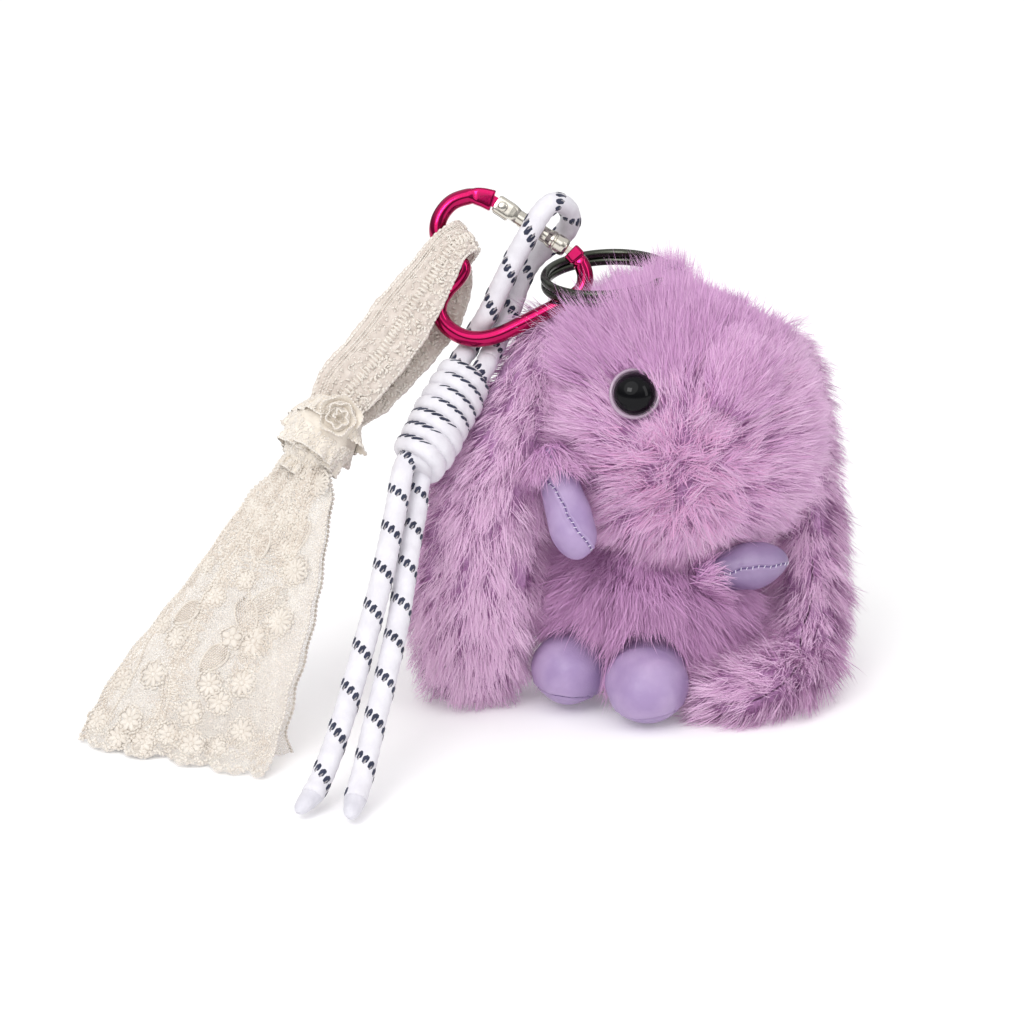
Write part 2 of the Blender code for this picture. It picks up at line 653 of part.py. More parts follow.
cover, filling = head_and_body()
eye("left", EYE_LEFT, EYE_LEFT_LOOK, cover, filling)
eye("right", EYE_RIGHT, EYE_RIGHT_LOOK, cover, filling)
ears()
limbs()
split_ring()
hanging_loop()
snap_hook()
cord()
lace()
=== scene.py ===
"""Looks of the plush keychain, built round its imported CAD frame.

+Z is up, the rabbit faces -Y and +X is to the viewer's right. Tables and sizes are in millimetres and
mm() turns them into metres.
"""

import math

import bpy
import numpy as np
from mathutils import Matrix, Vector
from mathutils.bvhtree import BVHTree


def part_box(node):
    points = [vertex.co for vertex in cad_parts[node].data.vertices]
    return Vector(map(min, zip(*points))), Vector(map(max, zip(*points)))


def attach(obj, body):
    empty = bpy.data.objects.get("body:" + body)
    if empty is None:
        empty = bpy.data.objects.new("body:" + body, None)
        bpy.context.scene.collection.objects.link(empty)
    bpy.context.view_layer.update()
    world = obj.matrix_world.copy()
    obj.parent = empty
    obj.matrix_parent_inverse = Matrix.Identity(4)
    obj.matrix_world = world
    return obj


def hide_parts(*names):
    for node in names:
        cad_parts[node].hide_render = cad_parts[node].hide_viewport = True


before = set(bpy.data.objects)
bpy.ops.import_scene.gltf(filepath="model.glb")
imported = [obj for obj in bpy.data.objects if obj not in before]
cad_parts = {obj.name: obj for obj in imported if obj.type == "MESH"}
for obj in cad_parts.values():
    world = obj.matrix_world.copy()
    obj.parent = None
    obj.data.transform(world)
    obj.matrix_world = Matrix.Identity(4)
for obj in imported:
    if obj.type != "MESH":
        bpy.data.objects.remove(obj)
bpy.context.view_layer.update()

RNG = np.random.default_rng(7)


# ---------------------------------------------------------------- small tools
def mm(values):
    return np.asarray(values, float) * 0.001


def unit(v):
    v = np.asarray(v, float)
    return v / np.maximum(np.linalg.norm(v, axis=-1, keepdims=True), 1e-12)


def srgb(r, g, b):
    """Linear colour of an sRGB triple from 0 to 255."""
    c = np.array([r, g, b]) / 255.0
    return tuple(np.where(c <= 0.04045, c / 12.92, ((c + 0.055) / 1.055) ** 2.4))


def full_turn(count):
    """Angles at even steps once round."""
    return np.linspace(0, 2 * math.pi, count, endpoint=False)


def walked(path):
    """The distance along a path to each of its points."""
    return np.concatenate([[0], np.cumsum(np.linalg.norm(np.diff(path, axis=0), axis=1))])


def squared(turn, power):
    """Reach of a rounded square against a circle, by angle; the higher the power, the squarer."""
    return (np.abs(np.cos(turn)) ** power + np.abs(np.sin(turn)) ** power) ** (-1 / power)


def at_places(where, along, values):
    """Rows of values that are known at places along a path, read off at other places."""
    return np.stack([np.interp(where, along, values[:, k]) for k in range(values.shape[1])], axis=-1)


def through(points, spacing):
    """Points at an even spacing on a smooth curve through the given ones (Catmull-Rom)."""
    p = np.asarray(points, float)
    p = np.vstack([2 * p[0] - p[1], p, 2 * p[-1] - p[-2]])
    t = np.linspace(0, 1, 24, endpoint=False)[:, None]
    fine = [
        0.5 * (2 * b + (c - a) * t + (2 * a - 5 * b + 4 * c - d) * t**2 + (3 * b - a - 3 * c + d) * t**3)
        for a, b, c, d in zip(p, p[1:], p[2:], p[3:])
    ]
    fine = np.vstack([*fine, p[-2:-1]])
    along = walked(fine)
    even = np.linspace(0, along[-1], max(3, int(round(along[-1] / spacing)) + 1))
    return at_places(even, along, fine)


def run_frames(path, hint=(0, 0, 1)):
    """Tangent and two square directions along a path, carried along it without twist."""
    step = unit(np.gradient(path, axis=0))
    wide = np.zeros_like(path)
    start = np.cross(step[0], hint)
    if np.linalg.norm(start) < 1e-3:
        start = np.cross(step[0], (1, 0, 0))
    wide[0] = unit(start)
    for i in range(1, len(path)):
        w = wide[i - 1] - step[i] * np.dot(wide[i - 1], step[i])
        wide[i] = w / np.linalg.norm(w)
    return step, wide, np.cross(step, wide)


LOOKS = bpy.data.collections.new("looks")
bpy.context.scene.collection.children.link(LOOKS)


def piece(name, verts, faces, materials, slots=None, smooth=True):
    """A mesh object. faces is one array of quads or triangles, or a list of such arrays."""
    groups = [np.asarray(f, np.int32) for f in (faces if isinstance(faces, list) else [faces]) if len(f)]
    loops = np.concatenate([g.ravel() for g in groups])
    totals = np.concatenate([np.full(len(g), g.shape[1], np.int32) for g in groups])
    starts = np.concatenate([[0], np.cumsum(totals)[:-1]]).astype(np.int32)
    mesh = bpy.data.meshes.new(name)
    verts = np.asarray(verts, np.float32)
    mesh.vertices.add(len(verts))
    mesh.vertices.foreach_set("co", verts.ravel())
    mesh.loops.add(len(loops))
    mesh.loops.foreach_set("vertex_index", loops)
    mesh.polygons.add(len(totals))
    mesh.polygons.foreach_set("loop_start", starts)
    mesh.polygons.foreach_set("loop_total", totals)
    mesh.polygons.foreach_set("use_smooth", np.full(len(totals), smooth))
    for material in materials if isinstance(materials, (list, tuple)) else [materials]:
        mesh.materials.append(material)
    if slots is not None:
        mesh.polygons.foreach_set("material_index", np.asarray(slots, np.int32))
    mesh.update(calc_edges=True)
    mesh.validate()
    obj = bpy.data.objects.new(name, mesh)
    LOOKS.objects.link(obj)
    return obj


def stand(obj, body, slot, *nodes):
    """Ties a piece to its body and lets it stand for CAD nodes, which it hides; slot is not used."""
    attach(obj, body)
    if nodes:
        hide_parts(*nodes)
    return obj


def grid_faces(rows, cols, round_and_round):
    """Quads of a grid of rows by cols points, whose last column may join the first."""
    i = np.arange(rows - 1)[:, None] * cols
    j = np.arange(cols if round_and_round else cols - 1)[None, :]
    k = (j + 1) % cols
    return np.stack([i + j, i + k, i + cols + k, i + cols + j], axis=-1).reshape(-1, 4)


def closed(name, grid, ends, material):
    """A tube over a grid of points, closed round and by a fan to each of its two end points."""
    rows, cols = grid.shape[:2]
    j = np.arange(cols)
    k = (j + 1) % cols
    n = rows * cols
    first = np.stack([np.full(cols, n), k, j], axis=1)
    last = np.stack([np.full(cols, n + 1), n - cols + j, n - cols + k], axis=1)
    faces = [grid_faces(rows, cols, True), np.vstack([first, last])]
    return piece(name, np.vstack([grid.reshape(-1, 3), *ends]), faces, material)


def open_sheet(name, grid, material):
    """A sheet over a grid of points in millimetres."""
    return piece(name, mm(grid.reshape(-1, 3)), grid_faces(*grid.shape[:2], False), material)


def tube(name, path, radius, material, sides=24, flat=1.0, hint=(0, 0, 1), relief=None):
    """A closed tube along path (metres). relief(along, round) adds to the radius, both arrays."""
    path = np.asarray(path, float)
    _, wide, thick = run_frames(path, hint)
    turn = full_turn(sides)
    r = np.broadcast_to(np.asarray(radius, float).reshape(-1, 1), (len(path), sides))
    if relief is not None:
        r = r + relief(walked(path)[:, None], turn[None, :])
    ring = np.cos(turn)[None, :, None] * wide[:, None] + flat * np.sin(turn)[None, :, None] * thick[:, None]
    return closed(name, path[:, None] + r[..., None] * ring, (path[0], path[-1]), material)


# ---------------------------------------------------------------- materials
def principled(name, colour, rough, metal=0.0, **more):
    material = bpy.data.materials.new(name)
    material.use_nodes = True
    shader = material.node_tree.nodes["Principled BSDF"]
    shader.inputs["Base Color"].default_value = (*colour, 1.0)
    shader.inputs["Roughness"].default_value = rough
    shader.inputs["Metallic"].default_value = metal
    for key, value in more.items():
        shader.inputs[key.replace("_", " ")].default_value = value
    return material


def texture(material, kind, scale, **settings):
    """A texture node on object coordinates."""
    tree = material.node_tree
    place = tree.nodes.new("ShaderNodeTexCoord")
    node = tree.nodes.new(kind)
    node.inputs["Scale"].default_value = scale
    for key, value in settings.items():
        if key in node.inputs:
            node.inputs[key].default_value = value
        else:
            setattr(node, key, value)
    tree.links.new(place.outputs["Object"], node.inputs["Vector"])
    return node


def noise(material, scale, detail):
    return texture(material, "ShaderNodeTexNoise", scale, Detail=detail).outputs["Fac"]


def bump(material, source, strength, distance, before=None):
    """Relief from a texture, laid over an earlier relief if there is one."""
    tree = material.node_tree
    node = tree.nodes.new("ShaderNodeBump")
    node.inputs["Strength"].default_value = strength
    node.inputs["Distance"].default_value = distance
    tree.links.new(source, node.inputs["Height"])
    if before is not None:
        tree.links.new(before.outputs["Normal"], node.inputs["Normal"])
    tree.links.new(node.outputs["Normal"], tree.nodes["Principled BSDF"].inputs["Normal"])
    return node


def vary(material, source, low, high, socket, start=0.3, end=0.7):
    """Runs an input of the shader between two values by a texture."""
    tree = material.node_tree
    ramp = tree.nodes.new("ShaderNodeValToRGB")
    ramp.color_ramp.elements[0].position = start
    ramp.color_ramp.elements[1].position = end
    for element, value in zip(ramp.color_ramp.elements, (low, high)):
        element.color = (*value, 1.0) if hasattr(value, "__len__") else (value, value, value, 1.0)
    tree.links.new(source, ramp.inputs["Fac"])
    tree.links.new(ramp.outputs["Color"], tree.nodes["Principled BSDF"].inputs[socket])


# steps along these tints carry the pile's random tone and also painted light and shade by place
FUR_TINTS = [
    # deep at the root as painted shade, then the pile from dark to light, then the pink of the face
    srgb(184, 129, 180), srgb(204, 154, 200), srgb(213, 167, 208), srgb(221, 179, 215),
    srgb(230, 195, 224), srgb(229, 174, 214),
]


def fur_materials():
    made = []
    for i, tint in enumerate(FUR_TINTS):
        # each tint also glows faintly in itself: painted light that lifts the shade between the strands
        m = principled(f"fur_{i}", tint, 0.7, Sheen_Weight=0.3, Sheen_Roughness=0.5,
                       Specular_IOR_Level=0.2, Emission_Color=(*tint, 1), Emission_Strength=0.08,
                       Sheen_Tint=(*srgb(245, 220, 248), 1))
        vary(m, noise(m, 70.0, 3.0), 0.2, 0.4, "Sheen Weight")
        made.append(m)
    return made


def backing_material():
    m = principled("fur_backing", srgb(186, 138, 190), 0.9)
    felt = noise(m, 420.0, 6.0)
    vary(m, felt, srgb(176, 130, 176), srgb(204, 158, 202), "Base Color")
    bump(m, felt, 0.8, 0.0012)
    return m


def leatherette_material(name, low, high):
    m = principled(name, low, 0.42, Specular_IOR_Level=0.45, Coat_Weight=0.12, Coat_Roughness=0.35)
    vary(m, noise(m, 90.0, 4.0), low, high, "Base Color", 0.35, 0.65)
    grain = texture(m, "ShaderNodeTexVoronoi", 1500.0)
    soft = bump(m, grain.outputs["Distance"], 0.25, 0.00012)
    creases = noise(m, 260.0, 5.0)
    bump(m, creases, 0.18, 0.0006, soft)
    vary(m, creases, 0.36, 0.52, "Roughness")
    return m


def metal_material(name, colour, rough, scale=900.0, wear=0.1, coat=0.0):
    m = principled(name, colour, rough, 1.0, Coat_Weight=coat, Coat_Roughness=0.05)
    scuffs = noise(m, scale, 6.0)
    vary(m, scuffs, rough, rough + wear, "Roughness")
    bump(m, scuffs, 0.06, 0.0001)
    return m


def cloth_material(name, low, high, rough, scale=2600.0, depth=0.00025, sheen=0.2):
    m = principled(name, low, rough, Sheen_Weight=sheen, Sheen_Roughness=0.5, Specular_IOR_Level=0.25)
    vary(m, noise(m, scale / 10, 5.0), low, high, "Base Color")
    bump(m, noise(m, scale, 3.0), 0.5, depth)
    return m


def eye_material():
    m = principled("eye_black", (0.003, 0.003, 0.004), 0.04, Specular_IOR_Level=0.16)
    vary(m, noise(m, 500.0, 3.0), 0.03, 0.06, "Roughness")
    return m


def rim_material():
    m = principled("eye_rim", srgb(200, 176, 198), 0.18, Transmission_Weight=0.35, IOR=1.45, Coat_Weight=0.5)
    cloudy = noise(m, 600.0, 3.0)
    vary(m, cloudy, srgb(194, 170, 192), srgb(206, 182, 204), "Base Color")
    vary(m, cloudy, 0.14, 0.22, "Roughness")
    return m


FUR = fur_materials()
BACKING = backing_material()
LEATHERETTE = leatherette_material("leatherette", srgb(158, 135, 178), srgb(177, 154, 192))
# a darker copy of the leatherette: painted shade for the right arm
LEATHERETTE_SHADED = leatherette_material("leatherette_painted_shade", srgb(129, 108, 147), srgb(147, 126, 163))
MAGENTA = metal_material("anodised_magenta", srgb(172, 0, 78), 0.07, 1400.0, 0.04, 0.3)
NICKEL = metal_material("nickel", srgb(205, 200, 190), 0.14)
STEEL = metal_material("steel", srgb(150, 150, 152), 0.28)
GUNMETAL = metal_material("gunmetal", srgb(74, 77, 69), 0.2)
CORD_WHITE = cloth_material("cord_white", srgb(218, 215, 222), srgb(231, 229, 235), 0.78)
CORD_NAVY = cloth_material("cord_navy", srgb(34, 38, 58), srgb(58, 62, 84), 0.7)
CORD_TIP = cloth_material("cord_tip", srgb(206, 204, 213), srgb(222, 220, 228), 0.5)
CORD_GREY = cloth_material("cord_grey", srgb(138, 134, 138), srgb(170, 166, 170), 0.7)
THREAD = cloth_material("thread", srgb(214, 206, 226), srgb(232, 226, 240), 0.7)
# painted shade: the dark of the seams' grooves, also given to the feet's dark stitches
SEAM_SHADE = cloth_material("seam_shadow", srgb(92, 74, 120), srgb(120, 100, 150), 0.8)
EYE_BLACK = eye_material()
EYE_RIM = rim_material()
WEBBING = cloth_material("webbing", srgb(160, 116, 160), srgb(178, 134, 178), 0.85)
FILLING = cloth_material("filling", srgb(232, 230, 226), srgb(246, 245, 242), 0.95, 700.0, 0.0008)
PLASTIC = cloth_material("washer_plastic", srgb(214, 214, 210), srgb(228, 228, 226), 0.35, 900.0, 0.00005, 0.0)


def paint(node, material):
    """Gives a CAD node that shows itself its finished material."""
    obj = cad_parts[node]
    if not obj.material_slots:
        obj.data.materials.append(material)
    for place in obj.material_slots:
        place.material = material


# ---------------------------------------------------------------- camera, floor and light
CAMERA_TARGET = mm((-37.5, -30.0, 60.0))
CAMERA_DISTANCE = 0.9
CAMERA_ELEVATION = math.radians(17.0)
CAMERA_LENS = 108.0
SOFTBOX_AIM = (-0.03, -0.03, 0.06)
# height on the dome and brightness: a bright ceiling over darker walls, for metal to mirror
WALLS = [(0.0, 0.55), (0.12, 0.22), (0.32, 0.36), (0.55, 0.85), (1.0, 0.95)]
FLOOR_HALF = 6.0


def camera():
    data = bpy.data.cameras.new("camera")
    data.lens = CAMERA_LENS
    data.sensor_width = 36.0
    data.clip_start = 0.01
    data.clip_end = 30.0
    obj = add(bpy.data.objects.new("camera", data))
    back = np.array([0, -math.cos(CAMERA_ELEVATION), math.sin(CAMERA_ELEVATION)])
    obj.location = Vector(CAMERA_TARGET + back * CAMERA_DISTANCE)
    obj.rotation_euler = (math.pi / 2 - CAMERA_ELEVATION, 0, 0)
    bpy.context.scene.camera = obj


def add(obj):
    bpy.context.scene.collection.objects.link(obj)
    return obj


def softbox(name, at, size, power):
    data = bpy.data.lights.new(name, "AREA")
    data.shape = "RECTANGLE"
    data.size, data.size_y = size
    data.energy = power
    obj = add(bpy.data.objects.new(name, data))
    obj.location = at
    obj.rotation_euler = (Vector(SOFTBOX_AIM) - Vector(at)).to_track_quat("-Z", "Y").to_euler()


def sun(name, strength, spread, turn):
    data = bpy.data.lights.new(name, "SUN")
    data.energy = strength
    data.angle = math.radians(spread)
    add(bpy.data.objects.new(name, data)).rotation_euler = turn


def studio():
    world = bpy.data.worlds.new("studio")
    bpy.context.scene.world = world
    world.use_nodes = True
    tree = world.node_tree
    tree.nodes.clear()
    out, seen, light, place, split, ramp, mix, ray = (tree.nodes.new("ShaderNode" + kind) for kind in (
        "OutputWorld", "Background", "Background", "TexCoord", "SeparateXYZ", "ValToRGB", "MixShader", "LightPath"))
    # the camera sees plain white, and the object sees the room
    seen.inputs["Color"].default_value = (1, 1, 1, 1)
    while len(ramp.color_ramp.elements) < len(WALLS):
        ramp.color_ramp.elements.new(0.5)
    for element, (height, level) in zip(ramp.color_ramp.elements, WALLS):
        element.position = height
        element.color = (level, level, level, 1)
    for source, target in (
            (place.outputs["Generated"], split.inputs[0]), (split.outputs["Z"], ramp.inputs["Fac"]),
            (ramp.outputs["Color"], light.inputs["Color"]), (ray.outputs["Is Camera Ray"], mix.inputs["Fac"]),
            (light.outputs[0], mix.inputs[1]), (seen.outputs[0], mix.inputs[2]), (mix.outputs[0], out.inputs[0])):
        tree.links.new(source, target)

    floor_paint = principled("floor_paint", (0.93, 0.93, 0.93), 0.6, Specular_IOR_Level=0.2,
                             Emission_Color=(1, 1, 1, 1), Emission_Strength=0.14)
    corners = [(x * FLOOR_HALF, y * FLOOR_HALF, 0) for x, y in ((-1, -1), (1, -1), (1, 1), (-1, 1))]
    piece("floor", corners, np.array([[0, 1, 2, 3]]), floor_paint, smooth=False)

    softbox("key", (-0.42, -0.95, 0.80), (0.42, 0.34), 3.0)
    softbox("side", (0.75, -0.55, 0.5), (0.25, 0.7), 1.2)
    sun("ceiling", 1.0, 60.0, (math.radians(42), math.radians(-20), 0))
    view = bpy.context.scene.view_settings
    view.view_transform = "Standard"
    view.look = "None"
    view.exposure = 0.0


camera()
studio()


# ---------------------------------------------------------------- rope
CORD_DIAMETER = 7.0
CORD_BIGHT = [
    (-52.5, -12.8, 101.8), (-50.9, -8.2, 103.0), (-48.0, -6.0, 108.2), (-44.5, -7.6, 114.5),
    (-40.6, -8.4, 123.0), (-36.4, -9.6, 131.8), (-32.3, -10.9, 139.5), (-28.5, -9.4, 145.4),
    (-24.7, -6.0, 147.3), (-21.1, -1.6, 144.5), (-20.4, 2.2, 139.4), (-23.2, 3.8, 134.8),
    (-27.8, 3.2, 131.6), (-32.2, 1.2, 127.6), (-35.3, -0.8, 122.0), (-37.2, -2.4, 116.4),
    (-39.8, -4.2, 110.0), (-42.8, -7.4, 104.0), (-44.6, -11.4, 101.2), (-45.4, -14.6, 100.0),
]
CORD_TAIL_LEFT = [
    (-68.7, -42.5, 76.9), (-70.1, -49.8, 70.2), (-72.0, -60.3, 61.4), (-74.8, -71.6, 50.1),
    (-78.2, -82.0, 39.0), (-81.6, -91.6, 28.4), (-84.4, -99.2, 20.4), (-87.4, -105.4, 12.8),
    (-89.8, -110.0, 7.8), (-91.9, -113.6, 4.9),
]
CORD_TAIL_RIGHT = [
    (-64.5, -39.6, 70.9), (-65.2, -47.0, 64.6), (-66.6, -55.4, 58.2), (-69.1, -72.6, 43.2),
    (-71.0, -83.0, 35.6), (-73.2, -92.0, 27.6), (-75.5, -100.0, 20.0), (-77.4, -107.2, 12.6),
    (-78.9, -112.6, 7.8), (-80.0, -116.4, 4.9),
]
CORD_KNOT_TOP = (-50.2, -15.8, 99.4)
CORD_KNOT_BOTTOM = (-66.0, -40.0, 75.0)
CORD_KNOT_RADIUS = 9.0
TIP_LENGTH = 0.0095
RIBS = 22  # plaited strands round the rope
MARK_PITCH = 12.6  # a coloured strand comes round once in this length
MARKS_ROUND = 10
ROPE_FLAT = 0.88
MARK_LONG, MARK_BROAD = 0.0014, 0.30  # half length of a stitch in metres, half width in radians
PATCH_U, PATCH_V = np.linspace(-1, 1, 7)[:, None], np.linspace(-1, 1, 5)[None, :]


def plait(diameter):
    """Relief of a fine plait: lengthwise ribs, each broken into short crossing stitches."""
    depth = diameter * 0.5 * 0.055

    def relief(along, turn):
        stitch = along / 0.0016 * math.pi
        rib = turn * RIBS / 2
        return depth * (np.abs(np.sin(rib)) ** 0.6 * (0.65 + 0.35 * np.sin(stitch + 2.2 * rib)) - 0.6)

    return relief


def patches(name, batches, material):
    """Small patches of PATCH_U by PATCH_V points as one piece."""
    quads = grid_faces(PATCH_U.size, PATCH_V.size, False)
    faces = [quads + PATCH_U.size * PATCH_V.size * k for k in range(len(batches))]
    return piece(name, np.vstack(batches), np.vstack(faces), material)


def rope_marks(name, path, diameter, phase, material, share=(1.0, 1.0)):
    """Upright stitches of a coloured strand, in a spiral row round the rope; share scales their size."""
    _, wide, thick = run_frames(path)
    along = walked(path)
    pitch = MARK_PITCH * 0.001
    u, v = PATCH_U, PATCH_V
    swell = (1 - np.abs(u) ** 3) ** 0.5
    lift = 0.00022 * (1 - u**4) * (1 - v**4) - 0.00004
    made = []
    for k in range(-2 * MARKS_ROUND, int(along[-1] / pitch * MARKS_ROUND) + MARKS_ROUND):
        s0 = (k / MARKS_ROUND + phase) * pitch
        if not 0.0012 < s0 < along[-1] - 0.0012:
            continue
        s = s0 + u * MARK_LONG * share[0] + 0 * v
        t = -2 * math.pi * k / MARKS_ROUND + v * MARK_BROAD * share[1] * swell + 0.10 * u
        centre, w, h = (at_places(s, along, q) for q in (path, wide, thick))
        out = np.cos(t)[..., None] * w + ROPE_FLAT * np.sin(t)[..., None] * h
        made.append((centre + (diameter / 2 + lift)[..., None] * out).reshape(-1, 3))
    return patches(name, made, material)


def cords():
    """The rope's bight over the hook and its two tails, each with its coloured strands."""
    d = mm(CORD_DIAMETER * 0.93)
    tips = cord_tips(d)
    # the strands run on into the knot past the ends of their solids
    for name, body, node, exit_at, phase, route in (
            ("cord_rope_loop", "hook", "cord_loop", CORD_KNOT_TOP, 0.35,
             [(-55.6, -18.6, 94.5), *CORD_BIGHT, (-50.4, -21.0, 94.0)]),
            ("cord_rope_tail_left", "cord_tails", "cord_tail_left", CORD_KNOT_BOTTOM, 0.1,
             [(-65.8, -36.2, 80.6), *CORD_TAIL_LEFT]),
            ("cord_rope_tail_right", "cord_tails", "cord_tail_right", CORD_KNOT_BOTTOM, 0.55,
             [(-62.6, -34.8, 76.4), *CORD_TAIL_RIGHT])):
        path = mm(through(route, 0.55))
        rope = tube(name, path, d / 2, CORD_WHITE, RIBS * 2, ROPE_FLAT, relief=plait(d))
        marks = rope_marks(name + "_marks", path, d, phase, CORD_NAVY)
        fleck = rope_marks(name + "_flecks", path, d, phase + 0.5 / MARKS_ROUND, CORD_GREY, (0.75, 0.42))
        stand(rope, body, "cord", node)
        stand(marks, body, "cord")
        stand(fleck, body, "cord")


def cord_tips(d):
    """Sealed, slightly shrunk ends."""
    made = {}
    for side, end in (("left", CORD_TAIL_LEFT[-1]), ("right", CORD_TAIL_RIGHT[-1])):
        low, high = (np.array(c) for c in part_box(f"cord_tip_{side}"))
        end = mm(end)
        run = unit((low + high) / 2 - end)
        s = np.linspace(0, 1, 26)
        path = end + run * (s[:, None] * TIP_LENGTH - 0.0004)
        path[:, 2] = np.maximum(path[:, 2], 0.0024)
        dome = np.sqrt(np.clip(1 - np.clip((s - 0.62) / 0.38, 0, 1) ** 2, 0.0, 1))
        radii = np.maximum(0.49 * d * (1 - 0.42 * s**1.1) * dome, 1e-5)
        tip = tube(f"cord_end_{side}", path, radii, CORD_TIP, 32, 0.86,
                   relief=lambda along, turn: 0.00005 * np.sin(turn * 9 + along * 1500))
        made[f"cord_tail_{side}"] = stand(tip, "cord_tails", "cord", f"cord_tip_{side}")
    return made


WINDING_TURNS = 7
WINDING_WIDE, WINDING_DEEP, WINDING_SQUARE = 5.3, 4.4, 2.3  # section of a turn, pressed flat


def cord_knot():
    """The cord wound round its own two strands, each turn pressed flat against the next."""
    top, bottom = mm(CORD_KNOT_TOP), mm(CORD_KNOT_BOTTOM)
    axis = unit(bottom - top)
    length = float(np.linalg.norm(bottom - top))
    side = unit(np.cross(axis, (0, 0, 1)))
    up = np.cross(side, axis)
    behind = math.atan2(up[1], side[1])
    s = np.linspace(0, 1, WINDING_TURNS * 72 + 1)
    place = top + axis * (mm(WINDING_WIDE) / 2 + s[:, None] * (length - mm(WINDING_WIDE)))
    angle = 2 * math.pi * WINDING_TURNS * s + behind
    # narrower at both ends, where the turns dive under
    radius = mm(CORD_KNOT_RADIUS - WINDING_DEEP / 2 - 1.1 * np.abs(2 * s - 1) ** 5) + 0.00015 * np.sin(s * 31)
    path = place + radius[:, None] * (np.cos(angle)[:, None] * side + np.sin(angle)[:, None] * up)
    winding = stand(rope_wound("cord_winding", path, axis), "hook", "cord", "cord_knot")
    marks = stand(wound_marks("cord_winding_marks", path, axis), "hook", "cord")
    core = tube("cord_core", np.linspace(top + axis * 0.001, bottom - axis * 0.001, 12), 0.0052, CORD_WHITE)
    stand(core, "hook", "cord")


def wound_section(path, axis):
    """Directions of a turn's cross-section: along the knot's axis, and out from it."""
    step = unit(np.gradient(path, axis=0))
    along = unit(axis - step * (step @ axis)[:, None])
    return along, np.cross(step, along)


def wound_reach(t):
    """Size of a turn's rounded section in each of its directions, from its axis-wise angle t."""
    k = squared(t, WINDING_SQUARE)
    return mm(WINDING_WIDE) / 2 * k * np.cos(t), mm(WINDING_DEEP) / 2 * k * np.sin(t)


def rope_wound(name, path, axis):
    along, out = wound_section(path, axis)
    turn = full_turn(RIBS * 2)
    a, b = wound_reach(turn)
    rib = 1 + plait(mm(CORD_DIAMETER))(walked(path)[:, None], turn[None, :]) / 0.0026
    grid = path[:, None] + (rib * a)[..., None] * along[:, None] + (rib * b)[..., None] * out[:, None]
    return closed(name, grid, (path[0], path[-1]), CORD_WHITE)


def wound_marks(name, path, axis):
    """A slanting row of dark stitches near the upper edge of each turn, on the side that is seen."""
    along, out = wound_section(path, axis)
    way = walked(path)
    outward = np.sign(np.einsum("ij,ij->", out, path - path.mean(axis=0)))
    u, v = PATCH_U, PATCH_V
    lift = 1 + 0.075 * (1 - u**4) * (1 - v**4)
    made = []
    for k, middle in enumerate((0.50, 0.49, 0.53, 0.55, 0.42, 0.38, 0.36)):
        for j in range(-3, 4):
            size = 1.0 if abs(j) < 3 else 0.35
            s = (k + middle) * (way[-1] / WINDING_TURNS) + j * 0.0021 + u * MARK_LONG + 0 * v
            lie = math.pi / 2 + 0.55 - 0.03 * j + 0.26 * u + 0.24 * size * v * (1 - np.abs(u) ** 3) ** 0.5
            centre, w, h = (at_places(s, way, q) for q in (path, along, out))
            a, b = wound_reach(lie)
            made.append((centre + (lift * a)[..., None] * w + (lift * b * outward)[..., None] * h).reshape(-1, 3))
    return patches(name, made, CORD_NAVY)


cords()
cord_knot()


# ---------------------------------------------------------------- fur
HEAD_CENTRE, HEAD_RADII = mm((12.0, -6.0, 80.0)), mm((38.0, 36.0, 38.5))
BODY_CENTRE, BODY_RADII = mm((2.0, -2.0, 26.0)), mm((27.0, 28.0, 31.0))
FACE = mm((13.0, -42.0, 70.0))  # the pile of the head parts round this point
EAR_LEFT_RUN = [(-25.5, -5, 112), (-29.5, -7, 101), (-34, -12, 90), (-40.5, -18, 76), (-46, -23, 60),
                (-48.5, -25, 42), (-49, -25.5, 25), (-49, -25.5, 11), (-49, -25.5, 0.6)]
EAR_RIGHT_RUN = [(41.5, 20, 102), (47, 20, 88), (50.5, 15, 70), (52, 8, 52), (52.5, 0, 36),
                 (51.5, -11, 22.5), (48.5, -23, 13.5), (42, -32.5, 9.8), (34, -38, 8.6), (27, -40.5, 7.6),
                 (19.2, -41.8, 7)]
LIMBS = {
    # root, tip, radius at the tip's shoulder and at the root, share of length that the round tip takes
    "arm_left": ((-25.5, -31.0, 76.0), (-17.5, -46.5, 51.0), 6.7, 5.2, 0.28, 1.0),
    "arm_right": ((21.0, -30.0, 41.0), (43.5, -32.5, 46.5), 6.9, 5.6, 0.50, 1.0),
    "foot_left": ((-16.5, -14.0, 14.5), (-23.0, -44.5, 11.0), 11.3, 9.5, 0.42, 0.93),
    "foot_right": ((3.5, -22.0, 13.2), (1.0, -59.5, 11.4), 12.3, 10.0, 0.40, 0.90),
}
EYE_AT = {"left": mm((-2.4, -39.9, 98.4)), "right": mm((27.1, -36.0, 99.2))}
EYE_LOOK = {"left": unit((0.05, -0.93, 0.36)), "right": unit((0.367, -0.81, 0.457))}
ROOT_DEPTH = 0.0012  # the strands start this far under the cloth
BLADE_WIDTH = 0.00022
DRAWN_TOGETHER = (0.1, 0.62)  # how far a strand's tip leans towards its lock's middle


def on_ellipsoid(centre, radii, count):
    u = unit(RNG.normal(size=(count, 3)))
    return centre + radii * u, unit(u / radii)


def panels(*nodes):
    """The corner points of the triangles of CAD nodes, and a tree to find places on them."""
    verts, tris = [], []
    for node in nodes:
        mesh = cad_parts[node].data
        mesh.calc_loop_triangles()
        base = len(verts)
        verts += [v.co.copy() for v in mesh.vertices]
        tris += [tuple(base + i for i in t.vertices) for t in mesh.loop_triangles]
    return np.array(verts)[np.array(tris)].transpose(1, 0, 2), BVHTree.FromPolygons(verts, tris)


